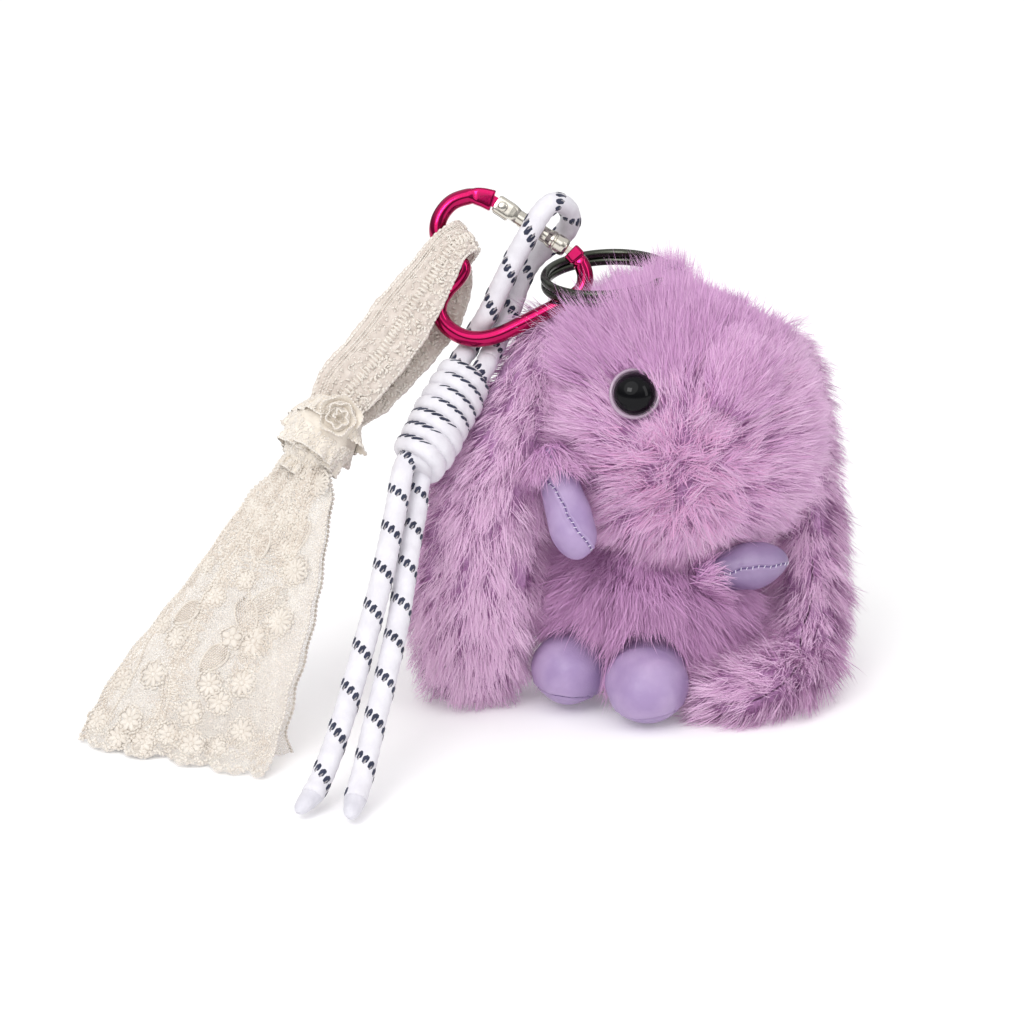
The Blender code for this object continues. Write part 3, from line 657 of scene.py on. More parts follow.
def on_nodes(count, *nodes):
    """Random points and normals on the outside of CAD nodes that lie face to face."""
    (a, b, c), tree = panels(*nodes)
    n = np.cross(b - a, c - a)
    area = np.linalg.norm(n, axis=1)
    pick = RNG.choice(len(a), count, p=area / area.sum())
    r1, r2 = np.sqrt(RNG.random((count, 1))), RNG.random((count, 1))
    p = a[pick] * (1 - r1) + b[pick] * r1 * (1 - r2) + c[pick] * r1 * r2
    n = unit(n[pick])
    out = np.ones(count, bool)
    for i in range(count):
        q = Vector(p[i] + n[i] * 0.0008)
        place, normal, _, _ = tree.find_nearest(q)
        out[i] = (q - place).dot(normal) > 0
    return p[out], n[out]


def outside(p, centre, radii, by):
    """True where p is outside an ellipsoid whose radii have grown by so much."""
    return (((p - centre) / (radii + by)) ** 2).sum(axis=-1) > 1.0


def far_from(p, a, b, reach):
    """True where p is further than reach from the segment a to b."""
    run = b - a
    share = np.clip(((p - a) @ run) / (run @ run), 0, 1)
    return np.linalg.norm(p - a - share[..., None] * run, axis=-1) > reach


def tangent(v, normal):
    """The part of v that lies along the surface, at unit length."""
    return unit(v - normal * (v * normal).sum(axis=-1, keepdims=True))


def run_flow(p, run):
    """Direction of a limb's own run at the place nearest each point."""
    run = mm(run)
    mid = (run[1:] + run[:-1]) / 2
    step = unit(np.diff(run, axis=0))
    d = np.linalg.norm(p[:, None] - mid[None], axis=2)
    w = np.exp(-((d / 0.012) ** 2)) + 1e-9
    return unit((w[..., None] * step[None]).sum(axis=1))


def fur(name, body, root, normal, flow, strands, length, lean, droop, spread=1.5, keep=None, tone_and_shade=0.0,
        pink=None, astray=0.3):
    """Locks of pile as tapered blades: each lock's strands draw together towards its tip.

    lean is the angle from the normal towards flow, at the root and at the tip; droop pulls the tips down;
    spread is the size of a lock in millimetres; keep says which strands stay; tone_and_shade steps along FUR_TINTS,
    setting a part's tone and the shade painted on it.
    """
    n = len(root)
    lean0, lean1 = (np.broadcast_to(np.asarray(v, float), n) for v in lean)
    side = np.cross(normal, flow)
    turn = RNG.normal(0, astray, n)[:, None]
    flow = flow * np.cos(turn) + side * np.sin(turn)
    side = np.cross(normal, flow)
    lock_long = np.broadcast_to(length, n) * RNG.uniform(0.82, 1.18, n)
    l0 = lean0 + RNG.normal(0, 0.12, n)
    l1 = lean1 + RNG.normal(0, 0.18, n)
    d0 = normal * np.cos(l0)[:, None] + flow * np.sin(l0)[:, None]
    d1 = normal * np.cos(l1)[:, None] + flow * np.sin(l1)[:, None] + np.array([0, 0, -droop])
    lock_tone_and_shade = RNG.normal(tone_and_shade, 0.4, n)

    # the strands of each lock, rooted just under the cloth, which bows away from the lock's middle
    i = np.repeat(np.arange(n), strands)
    m = len(i)
    apart = RNG.normal(0, spread * 0.001, (m, 2))
    r = root[i] + flow[i] * apart[:, :1] + side[i] * apart[:, 1:] - normal[i] * ROOT_DEPTH
    bow = (apart**2).sum(axis=1, keepdims=True) / (2 * 0.034)
    r = r - normal[i] * bow
    long = lock_long[i] * RNG.uniform(0.72, 1.12, m)
    stray = RNG.random(m) < 0.09
    long = np.where(stray, long * 1.2, long)
    s0 = unit(d0[i] + RNG.normal(0, 0.13, (m, 3)))
    s1 = unit(d1[i] + RNG.normal(0, 0.22, (m, 3)))
    draw = np.where(stray, 0.0, RNG.uniform(*DRAWN_TOGETHER, m))
    twist = RNG.normal(0, 0.55, m)
    broad = BLADE_WIDTH * RNG.uniform(0.65, 1.2, m)
    shade = np.clip(np.round(2.1 + lock_tone_and_shade[i] + RNG.normal(0, 0.55, m)), 1, 4).astype(int)

    lock_root = root - normal * ROOT_DEPTH
    points = []
    for t in (0.0, 0.4, 0.76, 1.0):
        p = r + long[:, None] * ((t - t * t / 2) * s0 + (t * t / 2) * s1)
        c = lock_root[i] + lock_long[i][:, None] * ((t - t * t / 2) * unit(d0)[i] + (t * t / 2) * unit(d1)[i])
        p = p + (c - p) * (draw * t**1.3)[:, None]
        p[:, 2] = np.maximum(p[:, 2], 0.0003 + 0.0006 * RNG.random(m))
        points.append(p)
    ok = np.ones(m, bool)
    if keep is not None:
        for p in (points[1], points[2], points[3], (points[1] + points[2]) / 2, (points[0] + points[1]) / 2):
            ok &= keep(p, r)
    points = [p[ok] for p in points]
    nn, twist, broad, shade = normal[i][ok], twist[ok], broad[ok], shade[ok]
    m = len(nn)

    # two quads and a point to each blade
    rows, shading = [], []
    uneven = RNG.normal(0, 0.09, (m, 3))
    for k, (p, taper) in enumerate(zip(points, (1.0, 0.95, 0.62, 0.0))):
        d = unit(points[min(k + 1, 3)] - points[max(k - 1, 0)])
        face = unit(nn - d * (nn * d).sum(axis=1, keepdims=True))
        w = np.cross(face, d)
        w = w * np.cos(twist)[:, None] + face * np.sin(twist)[:, None]
        half = (broad * taper / 2)[:, None] * w
        rows += [p - half, p + half] if k < 3 else [p]
        lit = unit(0.78 * nn + 0.22 * face + uneven)
        shading += [lit, lit] if k < 3 else [lit]
    base = np.arange(m)[:, None] * len(rows)
    faces = [np.vstack([base + np.array([[0, 2, 3, 1]]), base + np.array([[2, 4, 5, 3]])]),
             base + np.array([[4, 6, 5]])]
    # roots take the deep tint or a step darker, painted shade; tips often a step lighter, painted light
    low = np.where(RNG.random(m) < 0.55, 0, np.maximum(shade - 1, 0))
    tip = np.minimum(shade + (RNG.random(m) < 0.5), 4)
    if pink is not None:
        rosy = RNG.random(m) < pink(points[0])
        shade = np.where(rosy, 5, shade)
        tip = np.where(rosy & (RNG.random(m) < 0.6), 5, tip)
    obj = piece(name, np.stack(rows, axis=1).reshape(-1, 3), faces, FUR, np.concatenate([low, shade, tip]))
    # the pile is lit as one soft surface, not blade by blade
    obj.data.normals_split_custom_set_from_vertices(np.stack(shading, axis=1).reshape(-1, 3))
    stand(obj, body, "fur")


def skin(node, body, grow):
    """The cloth under the pile, from its CAD node: softened and slightly uneven."""
    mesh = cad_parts[node].data.copy()
    mesh.name = node + "_backing"
    obj = bpy.data.objects.new(mesh.name, mesh)
    LOOKS.objects.link(obj)
    mesh.materials.clear()
    mesh.materials.append(BACKING)
    co, normal = (np.zeros(len(mesh.vertices) * 3, np.float32) for _ in range(2))
    mesh.vertices.foreach_get("co", co)
    mesh.vertices.foreach_get("normal", normal)
    co = co.reshape(-1, 3)
    wave = np.sin(co[:, 0] * 700) * np.cos(co[:, 1] * 640 + 1) * np.sin(co[:, 2] * 580 + 2)
    co = co + normal.reshape(-1, 3) * (wave * 0.0002 + grow)[:, None]
    co[:, 2] = np.maximum(co[:, 2], 0.0)
    mesh.vertices.foreach_set("co", co.ravel())
    mesh.polygons.foreach_set("use_smooth", np.ones(len(mesh.polygons), bool))
    mesh.update()
    stand(obj, body, "fur", node)


def clear_of_parts(p, root):
    """Drops pile that would run through the limbs, the knot or the tails of the cord."""
    ok = np.ones(len(p), bool)
    for a, b, full, _, _, _ in LIMBS.values():
        ok &= far_from(p, mm(a), mm(b), mm(full - 0.4)) | ~far_from(root, mm(a), mm(b), mm(full - 1.5))
    ok &= far_from(p, mm(CORD_KNOT_TOP), mm(CORD_KNOT_BOTTOM), mm(8.6))
    for route in (CORD_TAIL_LEFT, CORD_TAIL_RIGHT, CORD_BIGHT):
        pts = mm(through(route, 12.0))
        for a, b in zip(pts, pts[1:]):
            ok &= far_from(p, a, b, mm(3.1))
    return ok


def clear_of_eye(p, side, reach):
    rel = p - EYE_AT[side]
    depth = rel @ EYE_LOOK[side]
    across = np.linalg.norm(rel - depth[:, None] * EYE_LOOK[side], axis=1)
    return (across > reach) | (depth < -0.006)


def head_keep(p, root):
    """Also keeps the pile off the left eye, but for a few hairs across its lower right edge."""
    ok = clear_of_parts(p, root)
    over = RNG.random(len(p)) < 0.10
    rel = p - EYE_AT["left"]
    low_right = rel @ np.array([0.75, 0, -0.66]) > 0.0035
    top_right = rel @ np.array([0.6, 0, 0.8]) > -0.001
    return ok & (clear_of_eye(p, "left", np.where(top_right, 0.0053, 0.0066)) | (over & low_right))


def head_fur():
    """Pile that parts round the face, shorter on the crown and hanging down at the back."""
    p, n = on_ellipsoid(HEAD_CENTRE, HEAD_RADII, 2400)
    shown = outside(p, BODY_CENTRE, BODY_RADII, -0.003)
    p, n = p[shown], n[shown]
    away = tangent(p - FACE, n)
    down = tangent(np.broadcast_to(np.array([0.0, 0.1, -1.0]), p.shape), n)
    back = np.clip((p[:, 1] - 0.004) / 0.022, 0, 1)[:, None]
    flow = unit(away * (1 - back) + down * back)
    near = np.linalg.norm(p - FACE, axis=1)
    lean_more = np.clip((near - 0.006) / 0.028, 0, 1)
    rosy = lambda q: 0.55 * np.exp(-((np.linalg.norm(q - FACE - mm((-2, 0, 4)), axis=1) / 0.017) ** 2))
    for part, rows in enumerate(np.array_split(np.argsort(p[:, 1]), 2)):
        more = lean_more[rows]
        top = np.clip((n[rows, 2] - 0.45) / 0.4, 0, 1)
        # the pile on the top of the head steps to darker tints: painted shade
        fur(f"head_fur_{part}", "plush", p[rows], n[rows], flow[rows], 32,
            0.0126 - 0.002 * (1 - more) - 0.004 * top, (0.62 + 0.05 * more, 1.0 + 0.12 * more), 0.1, 1.7,
            keep=head_keep, pink=rosy, tone_and_shade=0.8 - 1.9 * top, astray=0.3 + 1.1 * np.exp(-((near[rows] / 0.014) ** 2)))


def crown_fur():
    """Longer pile on the forehead, standing up in front of the ring, inside it and by the sewn loop."""
    p, n = on_ellipsoid(HEAD_CENTRE, HEAD_RADII, 9000)
    x, y, z = p.T * 1000
    tall = np.maximum.reduce([
        height * np.exp(-(((x - x0) / wide) ** 2) - ((y - y0) / deep) ** 2)
        for height, x0, wide, y0, deep in ((1.0, -1, 15, -27, 8), (0.5, 9.5, 5, -9, 8), (0.36, -6, 9, 3, 9),
                                           (1.1, -9, 8, -25, 7))])
    pick = (tall > 0.12) & (z > 98)
    p, n, tall = p[pick], n[pick], tall[pick]
    # a step darker all over: painted shade
    fur("crown_fur", "plush", p, n, tangent(p - FACE, n), 26, 0.0118 + 0.0105 * tall,
        (0.6 - 0.25 * tall, 1.0 - 0.6 * tall), 0.0, 1.7, keep=head_keep, tone_and_shade=-0.9)


def brow_fur():
    """Pile that falls over the right eye, which lies flush."""
    at, look = EYE_AT["right"], EYE_LOOK["right"]
    a = unit(np.cross(look, (0, 0, 1.0)))
    b = np.cross(a, look)
    count = 210
    r = 9.0 * np.sqrt(RNG.random(count))
    turn = RNG.uniform(0, 2 * math.pi, count)
    out = np.cos(turn)[:, None] * a + np.sin(turn)[:, None] * b
    p = at + mm(r)[:, None] * out + mm(5.4 * np.sqrt(np.clip(1 - (r / 10.5) ** 2, 0, 1)))[:, None] * look
    n = unit(look + 0.075 * r[:, None] * out)
    fur("brow_fur", "plush", p, n, tangent(p - FACE, n), 26, 0.0098, (0.85, 1.15), 0.05, 1.4, tone_and_shade=0.1)


def collar_fur():
    """Pile that lies over the roots of the arms."""
    for name, length, count in (("arm_left", 0.0105, 80), ("arm_right", 0.0082, 45)):
        root, run, x, y = limb_axes(name)
        radius = LIMBS[name][3]
        along = RNG.uniform(-4.0, 2.5, count)
        turn = RNG.uniform(0, 2 * math.pi, count)
        out = np.cos(turn)[:, None] * x + np.sin(turn)[:, None] * y
        wide = (radius + 1.4) * np.sqrt(np.clip(1 - np.clip(-along / 4.6, 0, 1) ** 2, 0.02, 1))
        p = mm(root + along[:, None] * run + wide[:, None] * out)
        n = unit(out - 0.3 * np.clip(-along / 3, 0, 1)[:, None] * run)
        flow = tangent(np.tile(run, (count, 1)), n)
        fur(name + "_collar", "plush", p, n, flow, 26, length, (0.85, 1.3), 0.0, 1.5, tone_and_shade=0.1)


def limb_axes(name):
    """Root, run and two square directions of an arm or a foot, in millimetres."""
    root, tip = (np.array(p) for p in LIMBS[name][:2])
    run = unit(tip - root)
    x = unit(np.cross((0, 0, 1), run))
    return root, run, x, np.cross(run, x)


def body_fur():
    p, n = on_ellipsoid(BODY_CENTRE, BODY_RADII, 1150)
    ok = outside(p, HEAD_CENTRE, HEAD_RADII, 0.001) & (p[:, 2] > 0.0035)
    p, n = p[ok], n[ok]
    flow = tangent(np.broadcast_to(np.array([0.0, -0.15, -1.0]), p.shape), n)
    # darker tints paint the shade under the head
    fur("body_fur", "plush", p, n, flow, 30, 0.0112, (0.6, 1.15), 0.12, 1.5, keep=clear_of_parts, tone_and_shade=-2.0)


def lap_fur():
    """Long pile: over the tops of the feet, on the flank beside the right ear and under the left arm, in darker tints
    as painted shade; the flank's deepest tints fill the shaded gap beside the ear.
    """
    p, n = on_ellipsoid(BODY_CENTRE, BODY_RADII, 4200)
    x, y, z = p.T * 1000
    down = tangent(np.broadcast_to(np.array([0.0, -0.4, -1.0]), p.shape), n)
    for name, pick, strands, length, lean, droop, tone_and_shade in (
            ("lap_fur", (y < -15) & (z > 17) & (z < 37) & (x > -23) & (x < 25), 28, 0.0205, (0.15, 0.75), 0.12, -1.8),
            ("flank_fur", (x > 19) & (y > -20) & (y < 24) & (z > 5) & (z < 40), 26, 0.0145, (0.3, 0.8), 0.1, -3.0),
            ("pit_fur", (x < -10) & (y > -24) & (y < 12) & (z > 34), 26, 0.0175, (0.2, 0.6), 0.1, -1.5)):
        fur(name, "plush", p[pick], n[pick], down[pick], strands, length, lean, droop, keep=clear_of_parts, tone_and_shade=tone_and_shade)


def ear_fur():
    for side, run, keep, tone_and_shade in (("left", EAR_LEFT_RUN, clear_of_parts, 1.7), ("right", EAR_RIGHT_RUN, None, 1.5)):
        p, n = on_nodes(1700, f"ear_{side}_front_panel", f"ear_{side}_back_panel")
        ok = outside(p, HEAD_CENTRE, HEAD_RADII, 0.0012) & outside(p, BODY_CENTRE, BODY_RADII, 0.0005)
        p, n = p[ok], n[ok]
        flow = tangent(run_flow(p, run) + np.array([0, 0, -0.1]), n)
        fur(f"ear_{side}_fur", f"ear_{side}", p, n, flow, 27, 0.0118, (0.55, 1.05), 0.1, 1.7, keep, tone_and_shade)


for node, body in (("head_cover", "plush"), ("body_cover", "plush"),
                   ("ear_left_front_panel", "ear_left"), ("ear_left_back_panel", "ear_left"),
                   ("ear_right_front_panel", "ear_right"), ("ear_right_back_panel", "ear_right")):
    # the panels of an ear close over the seam between them
    skin(node, body, 0.0004 if "ear" in node else -0.0002)
head_fur()
crown_fur()
brow_fur()
collar_fur()
body_fur()
lap_fur()
ear_fur()


# ---------------------------------------------------------------- turned, swept and cut pieces
def placed(verts, place):
    """Points of a local frame, in the frame they share."""
    m = np.array(place)
    return verts @ m[:3, :3].T + m[:3, 3]


def lathe(name, profile, place, material, sides):
    """Turns (radius, height) rows, in millimetres, about the local Z of place."""
    turn = full_turn(sides)
    rows = mm(profile)
    grid = np.stack([rows[:, :1] * np.cos(turn), rows[:, :1] * np.sin(turn),
                     np.repeat(rows[:, 1:], sides, axis=1)], axis=-1)
    poles = [placed(np.array([0, 0, height]), place) for height in (rows[0, 1], rows[-1, 1])]
    return closed(name, placed(grid, place), poles, material)


def sweep(name, path, half, deep, power, material, place):
    """A tube in the local XY plane of place; half is its size in that plane, deep its size square to
    it, and power squares its section off. Millimetres."""
    path = mm(path)
    step = unit(np.gradient(path, axis=0))
    across = np.stack([-step[:, 1], step[:, 0], 0 * step[:, 0]], axis=1)
    out = np.cross(step, across)
    turn = full_turn(56)[None]
    k = squared(turn, np.asarray(power, float).reshape(-1, 1))
    a, b = mm(half).reshape(-1, 1) * k * np.cos(turn), mm(deep).reshape(-1, 1) * k * np.sin(turn)
    grid = path[:, None] + a[..., None] * across[:, None] + b[..., None] * out[:, None]
    return closed(name, placed(grid, place), [placed(p, place) for p in (path[0], path[-1])], material)


def box(name, size, at, place, material):
    """A plain block, in millimetres, about a local place."""
    x, y, z = (v / 2 for v in size)
    corners = np.array([(a * x, b * y, c * z) for c in (-1, 1) for b in (-1, 1) for a in (-1, 1)]) + at
    faces = np.array([(0, 2, 3, 1), (4, 5, 7, 6), (0, 1, 5, 4), (2, 6, 7, 3), (0, 4, 6, 2), (1, 3, 7, 5)])
    return piece(name, placed(mm(corners), place), faces, material, smooth=False)


def carve(obj, *cutters):
    """Cuts blocks out of a piece for good, and keeps its corners crisp."""
    for cutter in cutters:
        change = obj.modifiers.new("cut", "BOOLEAN")
        change.operation = "DIFFERENCE"
        change.solver = "EXACT"
        change.object = cutter
    mesh = bpy.data.meshes.new_from_object(obj.evaluated_get(bpy.context.evaluated_depsgraph_get()))
    obj.modifiers.clear()
    obj.data = mesh
    for cutter in cutters:
        bpy.data.objects.remove(cutter, do_unlink=True)
    return crisp(obj)


def crisp(obj, degrees=38):
    """Shades every corner sharper than this as an edge."""
    obj.data.set_sharp_from_angle(angle=math.radians(degrees))
    return obj


# ---------------------------------------------------------------- hook, gate and ring
HOOK = Matrix.Translation(Vector(mm((-51.0, -6.6, 129.6)))) @ Matrix.Rotation(math.radians(73.0), 4, "X")
HEART = [
    (7.9, 17.9), (4.4, 19.0), (0.7, 19.2), (-4.2, 17.4), (-7.6, 13.2), (-8.4, 8.4), (-6.4, 4.2),
    (-3.0, 1.0), (-0.9, -1.6), (-2.4, -4.8), (-5.4, -8.0), (-7.6, -11.6), (-7.8, -15.4),
    (-5.4, -19.2), (-1.0, -21.9), (4.0, -22.6), (9.6, -21.4), (16.0, -18.4), (21.4, -15.7),
    (26.4, -13.1), (31.2, -10.5), (34.2, -7.8), (35.0, -4.4), (34.1, -1.0), (32.2, 1.6), (30.6, 3.2),
]
PIVOT = HOOK @ Matrix.Translation(Vector(mm((10.8, 16.0, 0)))) @ Matrix.Rotation(math.radians(-33.0), 4, "Z")
ALONG_GATE = PIVOT @ Matrix.Rotation(math.pi / 2, 4, "Y")
RING = (Matrix.Translation(Vector(mm((-9.0, -4.0, 124.2)))) @ Matrix.Rotation(math.radians(-4.0), 4, "Y")
        @ Matrix.Rotation(math.radians(8.0), 4, "X"))
RING_TURNS, RING_PITCH, RING_RADIUS, RING_WIRE = 2, 2.5, 18.9, 1.2
RING_ENDS_AT = math.radians(-35)  # both ends of the wire lie under the pile of the forehead
RING_STEPS = 300
WEB_HALF, WEB_FOOT, WEB_ABOVE_RING = 3.6, 118.9, 2.3  # the webbing loop: half width, foot, rise over the ring


def hook():
    """The heart: a round wire, squared off into facets at the hinge and at the nose."""
    path = np.array(through([(x, y, 0.0) for x, y in HEART], 0.3))
    s = walked(path)
    back = s[-1] - s
    nose = back < 6

    def along_wire(hinge, at_nose):
        return np.where(nose, np.interp(back, *at_nose), np.interp(s, *hinge))

    half = along_wire(([0, 0.3, 4.2, 5.4, 6.2, 7.4], [2.9, 3.15, 2.7, 2.5, 2.28, 2.42]),
                      ([0, 0.3, 2.6, 3.1, 3.4, 4.6], [2.3, 2.6, 2.65, 2.62, 2.15, 2.4]))
    deep = along_wire(([0, 0.3, 4.8, 5.8, 7.4], [2.0, 2.2, 2.35, 2.25, 2.4]),
                      ([0, 0.3, 3.1, 3.4, 4.6], [2.0, 2.3, 2.35, 2.15, 2.4]))
    power = along_wire(([0, 4.8, 6.0, 7.6], [6.0, 5.0, 3.4, 2.0]), ([0, 3.1, 3.5, 5.0], [6.0, 6.0, 3.4, 2.0]))
    made = sweep("hook_wire", path, half, deep, power, MAGENTA, HOOK)
    carve(made, box("slot_tool", (4.6, 12, 2.1), (24.2, 0, 0), PIVOT, MAGENTA))
    stand(made, "hook", "anodised", "carabiner_body")
    tang = crisp(box("hook_tang", (5.6, 3.2, 1.5), (-1.5, 0, 0), PIVOT, MAGENTA))
    stand(tang, "hook", "anodised")


GATE_ROWS = np.array([
    # place along the gate, size in the plane of the heart, size square to it, squareness
    (-2.5, 1.7, 2.0, 4.0), (-2.35, 2.35, 2.35, 5.0), (-1.8, 2.75, 2.5, 5.0), (2.6, 2.8, 2.5, 5.0),
    (4.0, 2.62, 2.45, 3.4), (5.2, 2.3, 2.3, 2.0), (15.6, 2.3, 2.3, 2.0), (16.2, 2.5, 2.5, 2.0),
    (16.9, 2.72, 2.72, 2.0), (17.6, 2.8, 2.8, 2.0), (17.9, 2.55, 2.55, 2.0), (18.3, 2.55, 2.55, 2.0),
    (18.6, 2.85, 2.85, 2.0), (20.6, 2.85, 2.85, 2.0), (21.6, 2.7, 2.7, 2.0), (22.1, 2.45, 2.45, 2.0),
    (22.3, 2.0, 2.0, 2.0),
])


def gate():
    """A nickel tube: flat cheeks with a notch at the rivet, and a flared collar at the nose."""
    x = np.unique(np.concatenate([np.linspace(-2.5, 22.3, 120), GATE_ROWS[:, 0]]))
    half, deep, power = at_places(x, GATE_ROWS[:, 0], GATE_ROWS[:, 1:]).T
    made = sweep("gate_tube", np.stack([x, 0 * x, 0 * x], axis=1), half, deep, power, NICKEL, PIVOT)
    bore = lathe("bore_tool", [(1.65, -6), (1.65, 17)], ALONG_GATE, NICKEL, 32)
    fork = box("fork_tool", (9, 12, 2.1), (-1.9, 0, 0), PIVOT, NICKEL)
    notch = box("notch_tool", (3.4, 1.5, 7), (4.6, -2.75, 0), PIVOT, NICKEL)
    carve(made, bore, fork, notch)
    stand(made, "hook_gate", "nickel", "gate")
    latch = crisp(box("gate_latch", (4.6, 2.3, 1.3), (23.0, 0, 0), PIVOT, NICKEL))
    stand(latch, "hook_gate", "nickel")

    head = [(1.5 * math.cos(t), 2.68 + 0.55 * math.sin(t)) for t in np.linspace(0, math.pi / 2 * 0.96, 9)]
    profile = [(r, -h) for r, h in head[::-1]] + [(1.5, -2.55), (0.9, -2.55), (0.9, 2.55), (1.5, 2.55)] + head
    stand(crisp(lathe("rivet", profile, PIVOT, NICKEL, 40)), "hook", "steel", "gate_rivet")
    dimple = lathe("rivet_dimple", [(0.62, 3.05), (0.62, 3.25), (0.5, 3.27), (0.42, 3.1)], PIVOT, STEEL, 32)
    stand(crisp(dimple), "hook", "steel")


def ring():
    """Two turns of spring wire against each other, their ends under the pile of the forehead."""
    turn = np.linspace(0, 2 * math.pi * RING_TURNS, RING_STEPS + 1)
    lift = RING_PITCH * (turn / (2 * math.pi) - 1.0)
    local = np.stack([RING_RADIUS * np.cos(turn), RING_RADIUS * np.sin(turn), lift], axis=1)
    place = RING @ Matrix.Rotation(RING_ENDS_AT, 4, "Z")
    from_end = np.minimum(np.arange(RING_STEPS + 1), np.arange(RING_STEPS, -1, -1))
    radii = mm(RING_WIRE) * np.minimum(1, from_end / 2.0 * 0.3 + 0.62)
    made = tube("ring_wire", placed(mm(local), place), radii, GUNMETAL, 28, 1.06, np.array(place)[:3, 2])
    stand(made, "ring", "gunmetal", "key_ring")


def hanging_loop():
    """Webbing from the crown of the head round the right side of the ring."""
    middle = placed(mm([[RING_RADIUS, 0, 0]]), RING)[0] * 1000
    top, bottom = middle[2] + WEB_ABOVE_RING, WEB_FOOT + 0.5
    arc = [(WEB_HALF * math.cos(t), top - 3.1 + WEB_HALF * math.sin(t)) for t in np.linspace(0, math.pi, 25)]
    side = np.linspace(bottom + 0.8, top - 3.4, 12)
    route = [(0.3, bottom), (WEB_HALF * 0.8, bottom)] + [(WEB_HALF, z) for z in side] + arc[1:-1] \
        + [(-WEB_HALF, z) for z in side[::-1]] + [(-WEB_HALF * 0.8, bottom), (-0.3, bottom)]
    path = mm([(middle[0] + x, middle[1], z) for x, z in route])
    y = np.array([0.0, 1.0, 0.0])
    out = np.cross(unit(np.gradient(path, axis=0)), y)
    turn = full_turn(36)
    k = squared(turn, 8)
    rib = 0.00006 * np.sin(turn * 18)
    grid = path[:, None] + (0.0039 * k * np.cos(turn))[None, :, None] * y \
        + ((0.00045 + rib) * k * np.sin(turn))[None, :, None] * out[:, None]
    made = closed("webbing_loop", grid, (path[0], path[-1]), WEBBING)
    stand(made, "plush", "webbing", "hanging_loop")


hook()
gate()
ring()
hanging_loop()


# ---------------------------------------------------------------- eyes
def turned_to(at, look):
    """At a point in metres, with local Z along look."""
    return Matrix.Translation(Vector(at)) @ Vector(look).to_track_quat("Z", "Y").to_matrix().to_4x4()


def eyes():
    """A glossy dome on its stem, and the pale rim behind it."""
    for side, at in EYE_AT.items():
        place = turned_to(at, EYE_LOOK[side])
        dome = [(6.0 * math.cos(t), 0.8 + 4.4 * math.sin(t)) for t in np.linspace(0, math.pi / 2 * 0.985, 28)]
        ball = lathe(f"eye_dome_{side}", [(2.0, -15.0), (2.0, -0.2), (5.8, 0.0), (6.0, 0.25)] + dome, place,
                     EYE_BLACK, 72)
        stand(crisp(ball, 50), "plush", "eye", f"eye_{side}")
        lip = [(6.88 + 0.58 * math.cos(t), 0.55 + 0.5 * math.sin(t)) for t in np.linspace(0, math.pi, 12)]
        cup = [(2.4, -1.4), (6.9, -1.4), (7.4, -0.8)] + lip + [(6.3, -0.28), (2.4, -0.3)]
        rim = lathe(f"eye_lip_{side}", cup, place, EYE_RIM, 72)
        stand(crisp(rim, 50), "plush", "clear_plastic", f"eye_{side}_rim")


eyes()


# ---------------------------------------------------------------- arms and feet
SEAMS = {
    # direction square to the seam's plane, its height along that, whether stitches are dark
    "arm_left": ((0.85, 0.155, 0.507), -4.6, False),
    "arm_right": ((-0.186, 0.287, 0.94), -0.6, False),
    "foot_left": ((0.10, -0.02, 1.0), -7.7, True),
    "foot_right": ((-0.06, -0.02, 1.0), -7.0, True),
}


def limb_profile(full, root, tip_share, length):
    """(along, radius) rows, in millimetres, from the rounded root to the round tip."""
    shoulder = 1 - tip_share
    root_cap = [(-4.0 * math.cos(t), root * math.sin(t)) for t in np.linspace(0.05, math.pi / 2, 9)[:-1]]
    share = np.linspace(0, shoulder, 44)
    rise = np.interp(share, [0, 0.25, shoulder], [root, (full + root) / 2, full])
    for _ in range(12):
        rise[1:-1] = (rise[:-2] + 2 * rise[1:-1] + rise[2:]) / 4
    tip = [(length * (shoulder + tip_share * math.sin(t)), full * math.cos(t))
           for t in np.linspace(0, math.pi / 2 - 0.03, 64)[1:]]
    return np.array(root_cap + list(zip(share * length, rise)) + tip)


def seam_line(f, grid, normal, rows, full, turned):
    """Even points and normals along the line where f is zero, up one side of a limb and down the other."""
    up, down = [], []
    for i, j in np.argwhere((f > 0) != np.roll(f > 0, -1, axis=1)):
        if rows[i, 1] > 0.12 * full and rows[i, 0] > -1:
            k = (j + 1) % f.shape[1]
            share = f[i, j] / (f[i, j] - f[i, k])
            p = grid[i, j] * (1 - share) + grid[i, k] * share
            n = unit(normal[i, j] * (1 - share) + normal[i, k] * share)
            (up if normal[i, j] @ turned > 0 else down).append(np.concatenate([p, n]))
    line = np.array(up + down[::-1])
    along = walked(line[:, :3])
    even = at_places(np.arange(0, along[-1], 0.35), along, line)
    return even[:, :3], unit(even[:, 3:])


